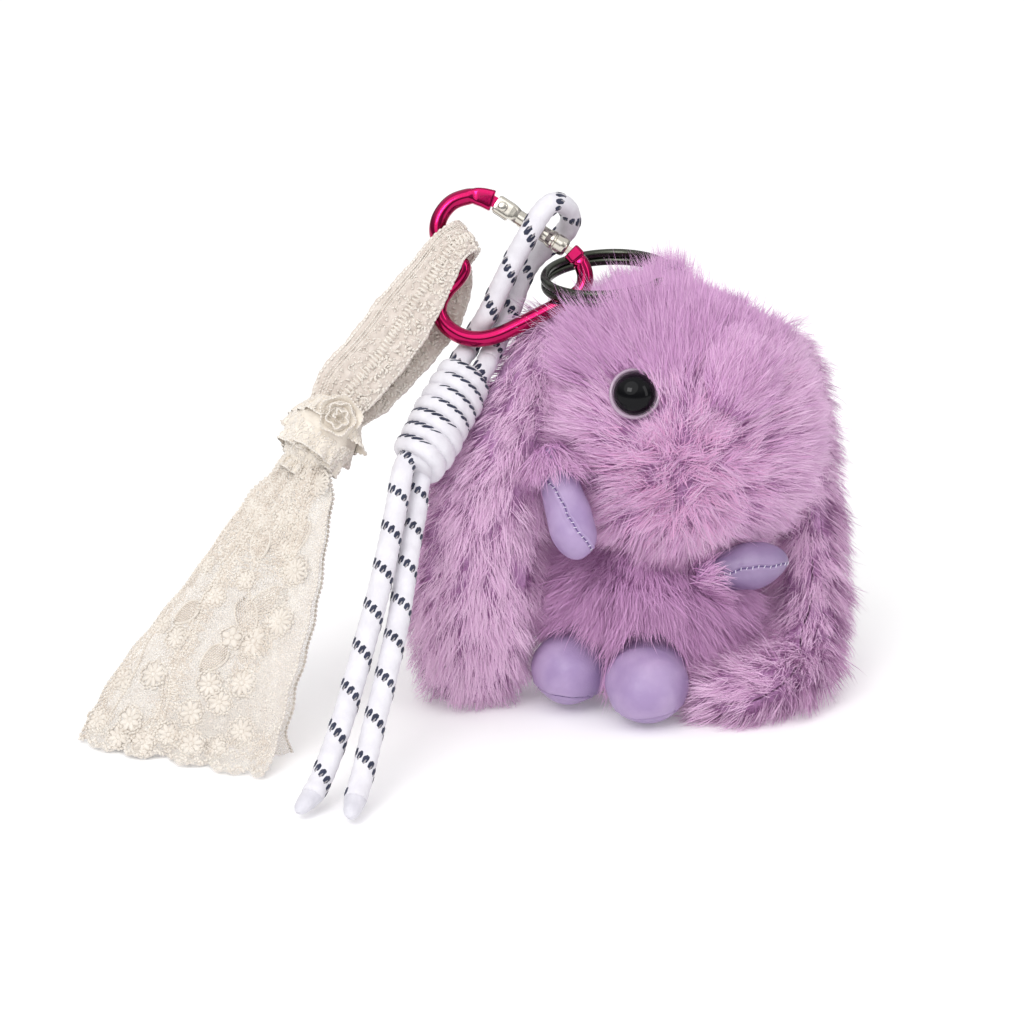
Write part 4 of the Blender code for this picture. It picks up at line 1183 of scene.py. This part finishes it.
def limb(name):
    """A leatherette skin with its seam sunk in, puckered, and stitched."""
    root, run, x, y = limb_axes(name)
    _, tip, full, root_radius, tip_share, flat = LIMBS[name]
    rows = limb_profile(full, root_radius, tip_share, float(np.linalg.norm(np.array(tip) - root)))
    turn = full_turn(168)
    ring_dir = np.cos(turn)[:, None] * x + flat * np.sin(turn)[:, None] * y
    grid = root + rows[:, :1, None] * run + rows[:, 1:, None] * ring_dir[None]
    normal = unit(np.cross(np.roll(grid, -1, axis=1) - np.roll(grid, 1, axis=1), np.gradient(grid, axis=0)))
    square, height, dark = SEAMS[name]
    square = unit(square)
    along, angle = rows[:, :1], turn[None, :]
    f = (grid - root) @ square - height + 0.45 * np.sin(along / 3.1 + 1.0) + 0.15 * np.sin(along / 0.9)
    groove = -0.42 * np.exp(-((f / 0.34) ** 2)) + 0.20 * np.exp(-(((np.abs(f) - 0.85) / 0.45) ** 2))
    pucker = 0.09 * np.sin(along / 0.42 + 3 * angle) * np.exp(-((f / 1.7) ** 2))
    step = 0.14 * np.tanh(f / 0.4) * np.exp(-((f / 3.0) ** 2))
    soft = 0.16 * np.sin(along / 2.9 + 2 * angle + 1.1) + 0.10 * np.sin(along / 1.7 - 3 * angle)
    fade = np.clip(rows[:, 1:] / (0.5 * full), 0, 1)
    grid = grid + ((groove + pucker + step + soft) * fade)[..., None] * normal
    grid[..., 2] = np.maximum(grid[..., 2], 0.25)
    # the right arm gets the darker copy: painted shade
    hide = LEATHERETTE_SHADED if name == "arm_right" else LEATHERETTE
    made = closed(name + "_skin", mm(grid), (mm(root - 4.0 * run), mm(tip)), hide)
    stand(made, "plush", "leatherette", name + "_cover")

    points, normals = seam_line(f, grid, normal, rows, full, np.cross(square, run))
    # a dark line along the seam's groove: painted shade
    line = tube(name + "_seam_shade_line", mm(points + 0.02 * normals), 0.00016 if dark else 0.00021, SEAM_SHADE, 8)
    stand(line, "plush", "leatherette")
    stitches(name, points, normals, dark)


def stitches(name, points, normals, dark):
    """Thread across the join of an arm, or set along the edge seam of a foot."""
    every, reach, height = (6, 0.55, 0.16) if dark else (5, 0.75, 0.34)
    verts, faces = [], []
    turn = full_turn(8)
    t = np.linspace(-1, 1, 7)
    r = 0.13 * np.sqrt(np.clip(1.02 - t**6, 0, 1))
    for i in range(4, len(points) - 4, every):
        n = normals[i]
        ahead = unit(points[i + 2] - points[i - 2])
        over = unit(np.cross(n, ahead))
        direction = unit(ahead + 0.25 * over) if dark else unit(over + 0.45 * ahead)
        lift = height * (1 - t**4) - 0.05
        path = points[i] + t[:, None] * reach * direction + lift[:, None] * n
        _, wide, thick = run_frames(path, n)
        ring_dir = np.cos(turn)[None, :, None] * wide[:, None] + np.sin(turn)[None, :, None] * thick[:, None]
        verts.append((path[:, None] + r[:, None, None] * ring_dir).reshape(-1, 3))
        faces.append(grid_faces(len(t), len(turn), True) + len(t) * len(turn) * len(faces))
    made = piece(name + "_stitches", mm(np.vstack(verts)), np.vstack(faces), SEAM_SHADE if dark else THREAD)
    stand(made, "plush", "leatherette")


for limb_name in LIMBS:
    limb(limb_name)


# ---------------------------------------------------------------- lace
LACE_RUN = [
    # the band's middle, from the knot up the front, over the wire and down behind it
    (-86.0, -30.5, 97.0), (-78.0, -24.5, 105.0), (-69.5, -18.6, 115.5), (-61.5, -13.6, 126.5),
    (-56.4, -10.4, 134.2), (-52.4, -7.6, 137.0), (-50.6, -4.4, 136.6), (-52.6, -1.6, 133.6),
    (-56.0, -0.6, 129.5), (-57.0, -0.8, 123.0), (-61.0, -4.6, 114.0), (-69.5, -12.6, 104.8),
    (-78.5, -20.0, 96.8),
]
LACE_TAIL = [
    # x, y, z, half width, half thickness: level sections from the knot to the hem
    (-94.0, -34.0, 83.0, 6.0, 2.6), (-97.5, -38.0, 76.5, 8.5, 4.0), (-98.5, -39.0, 73.5, 9.5, 4.5),
    (-101.0, -42.0, 69.0, 13.0, 5.0), (-105.5, -47.0, 59.0, 16.0, 5.5), (-111.5, -53.5, 46.0, 20.5, 6.2),
    (-118.5, -60.0, 33.0, 25.0, 7.0), (-125.5, -65.5, 21.0, 28.5, 7.8), (-130.5, -69.5, 9.0, 31.0, 8.4),
    (-133.0, -72.0, 0.5, 32.3, 8.4),
]
TAIL_WIDE = np.array((0.94, -0.34, 0.0))
TAIL_BACK = np.array((0.34, 0.94, 0.0))
KNOT_AT = np.array((-92.0, -32.5, 85.0))
KNOT_RUN = unit((-38.0, -24.0, -52.0))
KNOT_UP = unit(np.array((0, 0, 1.0)) - KNOT_RUN * KNOT_RUN[2])
KNOT_SIDE = np.cross(KNOT_RUN, KNOT_UP)
FRONT, BACK = -1.0, 1.0  # layers of the tail
DOME_SIDES = 8
DOME_ROWS = ((1.0, -0.3), (0.97, 0.15), (0.66, 0.78))  # reach and height of a stitch's rings of points
DOME_POINTS = DOME_SIDES * len(DOME_ROWS) + 1
BAND_SQUARE = 2.6


def dome_batch(at, normal, along, long, broad, high):
    """Points of one small oval stitch at each place; sizes in the units of at."""
    n = len(at)
    normal, along = np.broadcast_to(normal, (n, 3)), np.broadcast_to(along, (n, 3))
    along = tangent(along, normal)
    side = np.cross(normal, along)
    turn = full_turn(DOME_SIDES)
    long, broad, high = (np.broadcast_to(np.asarray(v, float), n)[:, None, None] for v in (long, broad, high))
    rows = []
    for reach, lift in DOME_ROWS:
        flat = reach * (long * np.cos(turn)[None, :, None] * along[:, None]
                        + broad * np.sin(turn)[None, :, None] * side[:, None])
        rows.append(at[:, None] + flat + high * lift * normal[:, None])
    rows.append((at + high[:, 0] * normal)[:, None])
    return np.concatenate(rows, axis=1)


def domes(name, batches, material):
    """One piece of lace from batches of stitches."""
    verts = np.concatenate([b.reshape(-1, 3) for b in batches])
    top = DOME_POINTS - 1
    j = np.arange(DOME_SIDES)
    quads = grid_faces(len(DOME_ROWS), DOME_SIDES, True)
    tris = np.stack([top - DOME_SIDES + j, top - DOME_SIDES + (j + 1) % DOME_SIDES, 0 * j + top], axis=1)
    base = np.arange(len(verts) // DOME_POINTS)[:, None, None] * DOME_POINTS
    faces = [(quads[None] + base).reshape(-1, 4), (tris[None] + base).reshape(-1, 3)]
    return stand(piece(name, mm(verts), faces, material), "lace_charm", "lace")


def ripple(a, b, seed, count=7, low=1.0, high=3.0):
    """A smooth random wave over two coordinates, about -1 to 1."""
    made = np.random.default_rng(seed)
    total = 0
    for _ in range(count):
        ka, kb = made.uniform(low, high, 2) * made.choice([-1, 1], 2)
        total = total + np.sin(ka * a + kb * b + made.uniform(0, 6.3))
    return total / math.sqrt(count) / 1.2


def tail_point(u, v, layer):
    """Place on the ribbon's tail, in millimetres: u from -1 to 1 across it, v from 0 to 1 down it."""
    rows = np.array(LACE_TAIL)
    fall = walked(rows[:, :3])
    at = np.asarray(v) * fall[-1]
    level = at_places(at, fall, rows)
    centre, wide, deep = level[..., :3], level[..., 3], level[..., 4]
    open_up = np.clip(v * 2.2, 0.25, 1)
    pleat = open_up * (0.9 * np.sin(u * 5.2 + 1.2 * layer + 2.0 * v) + 0.7 * np.sin(u * 9.5 - 2.6 * v + layer))
    gather = np.clip(1 - v * 4.0, 0, 1) * 1.1 * np.sin(u * 16 + 0.8 * layer)
    depth = layer * (0.42 * deep * (1 - np.clip(np.abs(u), 0, 1) ** 2.2) + 0.45) + pleat + gather
    # the hem spreads over the floor in uneven scallops
    low = np.clip((v - 0.90) / 0.10, 0, 1) ** 1.6
    scallop = 0.8 + 4.6 * np.abs(np.sin(7.4 * u + 0.5)) ** 0.8 + 2.6 * np.sin(2.1 * u - 0.6)
    depth = depth + layer * low * scallop
    edge = 1 + 0.012 * np.sin(at / 2.1)
    return centre + (u * wide * edge)[..., None] * TAIL_WIDE + depth[..., None] * TAIL_BACK


def tail_frame(u, v, layer):
    """Place, outward normal and downward direction on a layer of the tail."""
    u, v = np.asarray(u, float), np.asarray(v, float)
    e = 0.004
    du = tail_point(u + e, v, layer) - tail_point(u - e, v, layer)
    dv = tail_point(u, v + e, layer) - tail_point(u, v - e, layer)
    n = -unit(np.cross(du, dv))
    n = np.where((n @ TAIL_BACK)[..., None] * layer < 0, -n, n)
    return tail_point(u, v, layer), n, unit(dv)


def tail_cloth():
    """One length of tulle, folded down its left edge; its back layer shows past the front one."""
    t = np.linspace(0, 1, 180)[None]
    v = np.linspace(0, 1, 150)[:, None]
    u = np.where(t < 0.47, 0.96 - (t / 0.47) * 1.94, -0.98 + (t - 0.47) / 0.53 * 1.97)
    u, v = np.broadcast_arrays(u, v)
    blend = np.clip((t - 0.44) / 0.06, 0, 1)
    blend = (blend * blend * (3 - 2 * blend))[..., None]
    p = tail_point(u, v, FRONT) * (1 - blend) + tail_point(u, v, BACK) * blend
    p[..., 2] += np.clip((v - 0.9) * 10, 0, 1) * (0.55 + 0.5 * np.sin(u * 34))
    p[..., 2] = np.maximum(p[..., 2], 0.3)
    du, dv = np.diff(p, axis=1)[:-1], np.diff(p, axis=0)[:, :-1]
    area = np.linalg.norm(np.cross(du, dv), axis=-1).sum() * 1e-6
    return stand(open_sheet("lace_tail_cloth", p, TULLE), "lace_charm", "lace", "lace_tail"), float(area)


def flower(u, v, radius, petals, rng):
    """A stitched flower on the front layer: petals, a beaded outline and a centre."""
    p, n, down = tail_frame(u, v, FRONT)
    side = np.cross(n, down)
    start = rng.uniform(0, 6.3)
    a = start + np.arange(petals) / petals * 2 * math.pi
    out = np.cos(a)[:, None] * down + np.sin(a)[:, None] * side
    broad = 0.42 * radius * math.sin(math.pi / petals) * 1.3
    made = [dome_batch(p + 0.55 * radius * out, n, out, 0.42 * radius, broad, 0.42)]
    count = int(radius * 7.5)
    b = np.arange(count) / count * 2 * math.pi
    r = radius * (1.0 + 0.10 * np.cos(petals * (b - start)))
    rim = np.cos(b)[:, None] * down + np.sin(b)[:, None] * side
    made.append(dome_batch(p + r[:, None] * rim, n, np.cross(n, rim), 0.56, 0.36, 0.55))
    made.append(dome_batch(p[None], n, down, 0.17 * radius + 0.2, 0.17 * radius + 0.2, 0.6))
    return made


def on_tail(u, v, layer, rng, long, broad, high, turn=None):
    """Stitches at places on the tail, each turned by turn from straight down, or at random."""
    p, n, down = tail_frame(u, v, layer)
    side = np.cross(n, down)
    a = rng.uniform(0, 6.3, len(u)) if turn is None else np.broadcast_to(turn, len(u))
    along = np.cos(a)[:, None] * down + np.sin(a)[:, None] * side
    return dome_batch(p + 0.05 * n, n, along, long, broad, high)


# the main stem of the embroidery: places down the tail, and where it lies across
STEM = ([0.0, 0.35, 0.52, 0.70, 0.83, 1.0], [-0.40, -0.46, -0.46, -0.34, -0.22, -0.28])
FLOWERS = [
    # across, down, radius, petals
    (0.66, 0.13, 4.8, 14), (0.60, 0.40, 5.0, 12), (0.58, 0.56, 5.4, 12), (0.36, 0.63, 5.2, 9),
    (0.44, 0.76, 4.8, 10), (0.10, 0.62, 3.8, 5), (0.12, 0.77, 4.4, 9), (0.28, 0.82, 4.2, 8),
    (0.04, 0.86, 4.4, 8), (0.60, 0.90, 4.8, 9), (0.16, 0.945, 4.4, 8), (0.38, 0.95, 3.8, 8),
    (-0.10, 0.935, 4.2, 8), (-0.30, 0.955, 4.0, 8), (-0.52, 0.90, 4.6, 8), (-0.56, 0.955, 4.0, 8),
    (-0.88, 0.93, 4.2, 8), (-0.84, 0.80, 3.8, 8), (-0.52, 0.76, 4.8, 9), (-0.56, 0.64, 4.0, 9),
    (-0.86, 0.62, 3.2, 8), (-0.40, 0.50, 3.6, 8), (-0.84, 0.42, 2.8, 8), (-0.10, 0.44, 3.4, 9),
    (-0.30, 0.26, 3.0, 8), (0.10, 0.24, 3.2, 8), (-0.74, 0.22, 2.4, 8), (0.30, 0.34, 3.0, 8),
]
LEAVES = [
    # across, down, lean, half length
    (0.32, 0.505, -0.75, 6.6), (0.16, 0.555, 0.55, 5.6), (0.46, 0.30, -0.2, 6.0),
    (-0.62, 0.565, -0.5, 4.6), (0.02, 0.69, -0.4, 5.0), (-0.12, 0.33, 0.3, 4.6),
]
STEMS = [
    # shift from the main stem, sway, phase, lowest place
    (0.0, 0.03, 0.4, 0.97), (-0.07, 0.03, 0.6, 0.97), (-0.50, 0.02, 4.0, 0.95), (0.50, 0.09, 2.2, 0.50),
    (0.88, 0.06, 1.0, 0.42),
]


def worked(u, v):
    """How closely the net is embroidered at a place on the tail, from 0 where it is bare."""
    stem = np.exp(-(((u - np.interp(v, *STEM)) / (0.17 - 0.06 * v)) ** 2))
    border = np.exp(-(((u + 0.92) / 0.085) ** 2))
    top = (1 - np.clip((v - 0.30) / 0.25, 0, 1)) * np.clip((0.62 - u) / 0.1, 0, 1)
    cluster = 0.85 * np.exp(-(((u - 0.40) / 0.2) ** 2) - ((v - 0.60) / 0.2) ** 2)
    hem = 0.8 * np.exp(-(((v - 0.93) / 0.05) ** 2)) * (0.5 + 0.5 * np.sin(7.4 * u + 1.2) ** 2)
    return np.maximum.reduce([stem, border, top, cluster, hem])


def leaf_stitches(u, v, lean, long):
    """A leaf of net in close rows, and its two beaded edges."""
    p, n, down = tail_frame(u, v, FRONT)
    side = np.cross(n, down)
    ahead = math.cos(lean) * down + math.sin(lean) * side
    over = np.cross(n, ahead)

    def room(t):
        return 3.1 * np.sqrt(np.clip(1 - t**2, 0, 1)) * (1 - 0.25 * t)

    a, b = np.meshgrid(np.arange(-long, long, 0.85), np.arange(-3.4, 3.4, 0.62))
    a = a + 0.42 * (np.round(b / 0.62) % 2)
    inside = np.abs(b) < room(a / long)
    net = dome_batch(p + a[inside][:, None] * ahead + b[inside][:, None] * over, n, ahead, 0.40, 0.2, 0.35)
    t = np.linspace(-1, 1, 22)
    edges = [dome_batch(p + (t * long)[:, None] * ahead + (sign * room(t))[:, None] * over, n, ahead, 0.5, 0.32, 0.5)
             for sign in (-1, 1)]
    return net, edges


def tail_stitching():
    """All the embroidery of the tail, in three pieces."""
    rng = np.random.default_rng(31)
    fine, bold, net = [], [], []
    for layer, at in ((FRONT, 0.95), (FRONT, -0.965), (BACK, 0.975)):
        v = np.arange(0.02, 0.985, 0.0145)
        fine.append(on_tail(np.full(len(v), at), v, layer, rng, 0.62, 0.42, 0.6, 0.0))
    u = np.arange(-0.96, 0.95, 0.022)
    for row, long in ((0.985, 0.75), (0.955, 0.45)):
        fine.append(on_tail(u, row + 0.006 * np.cos(u * 60), FRONT, rng, long, 0.42, 0.6))
    # small knots, close together where the lace is worked and few on the bare net
    count = 4200
    u, v = rng.uniform(-0.95, 0.93, count), rng.uniform(0.03, 0.98, count)
    pick = worked(u, v) + 0.25 * ripple(u * 3, v * 5, 5) > rng.uniform(0.12, 1.1, count)
    u, v = u[pick], v[pick]
    fine.append(on_tail(u, v, FRONT, rng, rng.uniform(0.3, 0.62, len(u)), rng.uniform(0.2, 0.34, len(u)), 0.42))
    for u, v, radius, petals in FLOWERS:
        bold += flower(u, v, radius * 0.86, petals, rng)
    for shift, sway, phase, last in STEMS:
        v = np.arange(0.05, last, 0.0095)
        u = np.interp(v, *STEM) + shift + sway * np.sin(v * 22 + phase)
        bold.append(on_tail(u, v, FRONT, rng, 0.6, 0.42, 0.62, 0.2))
    for leaf in LEAVES:
        inner, edges = leaf_stitches(*leaf)
        net.append(inner)
        bold += edges
    # close ranks of stitches that fill the worked lace between its flowers
    count = 11000
    u, v = rng.uniform(-0.95, 0.93, count), rng.uniform(0.0, 0.99, count)
    pick = worked(u, v) + 0.22 * ripple(u * 4.5, v * 8, 11) > rng.uniform(0.35, 0.85, count)
    u, v = u[pick], v[pick]
    turn = 1.2 * ripple(u * 3, v * 6, 12)
    net.append(on_tail(u, v, FRONT, rng, rng.uniform(0.45, 0.85, len(u)), 0.17, 0.26, turn))
    return [domes("lace_tail_knots", fine, BEADS), domes("lace_tail_flowers", bold, LACE),
            domes("lace_tail_net", net, LACE_NET)]


def band_sections():
    """The band's path, its directions along, across and square to itself, and its half width."""
    path = through([(-91.5, -32.6, 88.0), *LACE_RUN, (-87.0, -27.5, 88.0)], 0.5)
    step = unit(np.gradient(path, axis=0))
    below = np.minimum((path[:, 2].max() - path[:, 2]) / 22.0, 1.0)[:, None]
    across = np.array((0.59, -0.24, -0.77)) * (1 - below) + np.array((0.80, 0.0, -0.60)) * below
    wide = unit(across - step * (across * step).sum(axis=1, keepdims=True))
    # it narrows where it is drawn into the knot
    into = np.clip(np.minimum(np.arange(len(path)), np.arange(len(path))[::-1]) / 22.0, 0, 1)
    return path, step, wide, np.cross(step, wide), (5.2 + 3.8 * below[:, 0]) * (0.62 + 0.38 * into)


def band():
    """The doubled band of the ribbon, hitched over the wire of the heart."""
    rng = np.random.default_rng(77)
    path, step, wide, thick, half = band_sections()
    along = walked(path)
    turn = full_turn(120)[None]
    c, s, k = np.cos(turn), np.sin(turn), squared(turn, BAND_SQUARE)
    a = along[:, None]
    lobes = 1 + 0.05 * np.abs(np.sin(a / 3.4)) + 0.012 * np.sin(a / 0.5)
    ridge = 0.16 * np.sin(c * 22) * (np.abs(s) > 0.2)
    lump = 0.22 * ripple(a, c * 9, 3, 9, 0.6, 2.4) + 0.08 * ripple(a * 2.2, c * 20, 4, 9, 0.8, 2.6)
    deep = 1.15 + lump + ridge
    grid = path[:, None] + (half[:, None] * lobes * k * c)[..., None] * wide[:, None] \
        + (deep * k * s)[..., None] * thick[:, None]
    cloth = closed("lace_band_cloth", mm(grid), mm(path[[0, -1]]), LACE_BAND)
    stand(cloth, "lace_charm", "lace", "lace_loop")

    def on_band(share, t, face, long, broad, high, turned=None):
        """share is a place across the band, t a place along it in mm, face 1 or -1."""
        c = np.clip(share, -0.99, 0.99)
        s = np.sqrt(1 - np.abs(c) ** BAND_SQUARE) ** (2 / BAND_SQUARE) * face
        at, over, out, ahead = (at_places(t, along, q) for q in (path, wide, thick, step))
        p = at + (np.interp(t, along, half) * c)[:, None] * over + (1.28 * s)[:, None] * out
        n = unit(out * face * (1 - np.abs(c[:, None]) ** 3) + over * (c[:, None] ** 3))
        a = rng.uniform(0, 6.3, len(t)) if turned is None else np.broadcast_to(turned, len(t))
        return dome_batch(p, n, np.cos(a)[:, None] * ahead + np.sin(a)[:, None] * over, long, broad, high)

    fine, bold = [], []
    total = along[-1]
    for face in (-1, 1):
        t = np.arange(1, total - 1, 1.25)
        # a ladder of bars down the middle, ribs beside it and beads along both edges
        bold.append(on_band(0.06 + 0.05 * np.sin(t / 9), t, face, 1.55, 0.42, 0.55, math.pi / 2))
        for edge in (-0.96, 0.96):
            fine.append(on_band(np.full(len(t), edge), t, face, 0.62, 0.42, 0.5, 0.0))
        t = np.arange(1, total - 1, 0.9)
        for rib in (-0.78, -0.68, -0.58):
            fine.append(on_band(rib + 0.02 * np.sin(t / 4), t, face, 0.52, 0.2, 0.35, 0.0))
        count = 1300
        share, t = rng.uniform(-0.55, 0.95, count), rng.uniform(0.5, total - 0.5, count)
        fine.append(on_band(share, t, face, rng.uniform(0.3, 0.7, count), rng.uniform(0.18, 0.3, count), 0.42))
        for n, place in enumerate(np.arange(4, total - 4, 6.8)):
            centre = 0.52 + 0.08 * (-1) ** n
            b = np.arange(9) / 9 * 2 * math.pi
            width = np.interp(place, along, half)
            bold.append(on_band(centre + 1.9 / width * np.cos(b), place + 1.9 * np.sin(b), face, 0.8, 0.45, 0.6, b))
    parts = [domes("lace_band_knots", fine, BEADS), domes("lace_band_bars", bold, LACE)]


def ruffle(name, centre_turn, a0, slant, wide, flare, seed, folds):
    """A gathered frill round the ribbon's knot, and its stitches."""
    rows, cols = 26, 260
    turn = centre_turn + np.linspace(-2.6, 2.6, cols)[None]
    t = np.linspace(0, 1, rows)[:, None]
    a = a0 + slant * np.cos(turn - centre_turn) + 0 * t
    base = np.sqrt(np.clip(1 - (a / 12.5) ** 2, 0.05, 1))
    fold = ripple(turn, 0 * turn, seed, 5, 1.6, 4.0)
    wave = t**1.3 * (0.85 * np.sin(turn * folds + 0.9 * fold) + 0.45 * fold)
    beta = flare + 0.25 * fold * t
    drop = wide * t * np.cos(beta) * (1 + 0.08 * fold)
    rise = wide * t * np.sin(beta) + wave + 0.35
    lie = a + drop
    now = np.sqrt(np.clip(1 - (np.clip(lie, -12, 12) / 12.9) ** 2, 0.12, 1))
    rx, ry = (radius * np.minimum(base, now) + rise for radius in (10.2, 7.9))
    p = KNOT_AT + lie[..., None] * KNOT_RUN + (rx * np.cos(turn))[..., None] * KNOT_UP \
        + (ry * np.sin(turn))[..., None] * KNOT_SIDE
    made = stand(open_sheet(name, p, LACE_RUFFLE), "lace_charm", "lace")
    edge, before = p[-1], p[-3]
    n = unit(np.cross(np.gradient(edge, axis=0), edge - before))
    rim = dome_batch(edge[::3], n[::3], np.gradient(edge, axis=0)[::3], 0.5, 0.34, 0.3)
    # stitched knots over the frill
    rng = np.random.default_rng(seed)
    count = 520
    i, j = rng.integers(2, rows - 1, count), rng.integers(2, cols - 2, count)
    down, along = np.gradient(p, axis=0), np.gradient(p, axis=1)
    square = unit(np.cross(along, down))
    out = p - KNOT_AT - ((p - KNOT_AT) @ KNOT_RUN)[..., None] * KNOT_RUN
    square = np.where((square * out).sum(axis=-1, keepdims=True) < 0, -square, square)
    knots = dome_batch(p[i, j], square[i, j], down[i, j] + 0.3 * along[i, j], rng.uniform(0.35, 0.8, count),
                       rng.uniform(0.22, 0.34, count), 0.4)
    return made, np.concatenate([rim, knots])


FRILLS = [
    # place along the knot, slant, width, flare, folds
    (-12.0, 1.6, 7.0, 0.36, 13), (-7.0, -2.4, 7.2, 0.36, 15), (-1.5, 2.6, 7.2, 0.34, 14),
    (3.0, -1.4, 7.0, 0.26, 13), (7.0, 0.6, 7.5, 0.12, 11),
]


def rosette(look, batches):
    """A frill wound on itself, facing the viewer."""
    at = KNOT_AT - 5.0 * KNOT_RUN + 9.3 * look
    across = unit(np.cross(look, (0, 0, 1)))
    rise = np.cross(across, look)
    a = np.linspace(0, 1, 420)[None]
    t = np.linspace(0, 1, 12)[:, None]
    spin = a * 2.6 * 2 * math.pi
    r = 0.9 + 4.4 * a + 0.35 * np.sin(spin * 5.3) * (0.3 + t) + 1.1 * t**1.5 * (0.4 + a)
    height = 2.6 * t * (1 - 0.45 * a) + 0.3 * np.sin(spin * 7.1) * t - 0.8
    p = at + (r * np.cos(spin))[..., None] * across + (r * np.sin(spin))[..., None] * rise + height[..., None] * look
    edge = p[-1]
    batches.append(dome_batch(edge[::4], look, np.gradient(edge, axis=0)[::4], 0.42, 0.3, 0.3))
    return stand(open_sheet("lace_rosette", p, LACE_RUFFLE), "lace_charm", "lace")


def knot():
    """The ribbon's knot: a twisted core under gathered frills, and a rosette at the top."""
    lat = np.linspace(0.02, math.pi - 0.02, 120)[:, None]
    lon = full_turn(180)[None]
    fold = 0.45 * np.sin(lon * 9 + 3.2 * lat + 0.8 * np.sin(lon * 2)) + 0.3 * ripple(lon * 3, lat * 4, 9)
    local = np.stack([-12 * np.cos(lat) + 0 * lon, 11 * np.sin(lat) * np.cos(lon),
                      8.5 * np.sin(lat) * np.sin(lon)], axis=-1)
    local = local * ((1 + 0.045 * fold) * 0.96)[..., None]
    p = KNOT_AT + local[..., :1] * KNOT_RUN + local[..., 1:2] * KNOT_UP + local[..., 2:] * KNOT_SIDE
    ends = (KNOT_AT - 11.5 * KNOT_RUN, KNOT_AT + 11.5 * KNOT_RUN)
    core = closed("lace_knot_core", mm(p), mm(ends), LACE_RUFFLE)
    stand(core, "lace_charm", "lace", "lace_knot")
    facing = math.atan2(-KNOT_SIDE[1], -KNOT_UP[1])
    frills, batches = [], []
    for i, (a0, slant, wide, flare, folds) in enumerate(FRILLS):
        frill, stitched = ruffle(f"lace_frill_{i}", facing, a0, slant, wide, flare, 20 + i, folds)
        frills.append(frill)
        batches.append(stitched)
    frills.append(rosette(unit(math.cos(facing) * KNOT_UP + math.sin(facing) * KNOT_SIDE), batches))
    return [*frills, domes("lace_frill_edges", batches, BEADS)]


def tulle_material():
    """Sheer net, woven finer than the eye picks out."""
    m = principled("tulle", srgb(226, 217, 208), 0.8, Sheen_Weight=0.3, Sheen_Roughness=0.4,
                   Specular_IOR_Level=0.2)
    vary(m, noise(m, 300.0, 4.0), srgb(218, 208, 198), srgb(232, 225, 216), "Base Color")
    net = texture(m, "ShaderNodeTexVoronoi", 1700.0, feature="DISTANCE_TO_EDGE")
    vary(m, net.outputs["Distance"], 0.85, 0.22, "Alpha", 0.03, 0.2)
    return m


TULLE = tulle_material()
LACE = cloth_material("lace", srgb(218, 209, 199), srgb(230, 223, 214), 0.7, 3000.0, 0.0002, 0.3)
LACE_BAND = cloth_material("lace_band", srgb(205, 193, 184), srgb(219, 209, 201), 0.8, 3600.0, 0.00015, 0.3)
LACE_RUFFLE = cloth_material("lace_ruffle", srgb(224, 214, 201), srgb(239, 231, 220), 0.75, 3200.0, 0.0002, 0.3)
LACE_NET = cloth_material("lace_net", srgb(214, 203, 192), srgb(227, 218, 208), 0.75, 3000.0, 0.0001, 0.2)
BEADS = cloth_material("lace_beads", srgb(222, 214, 205), srgb(232, 226, 218), 0.5, 3000.0, 0.0001, 0.3)

band()
knot_parts = knot()
tail, tail_area = tail_cloth()
tail_parts = tail_stitching()


# ---------------------------------------------------------------- parts that stay hidden
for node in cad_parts:
    if node.endswith("_filling"):
        paint(node, FILLING)
    elif node.endswith("_washer"):
        paint(node, PLASTIC)
for node in ("gate_spring", "gate_plunger"):
    paint(node, STEEL)
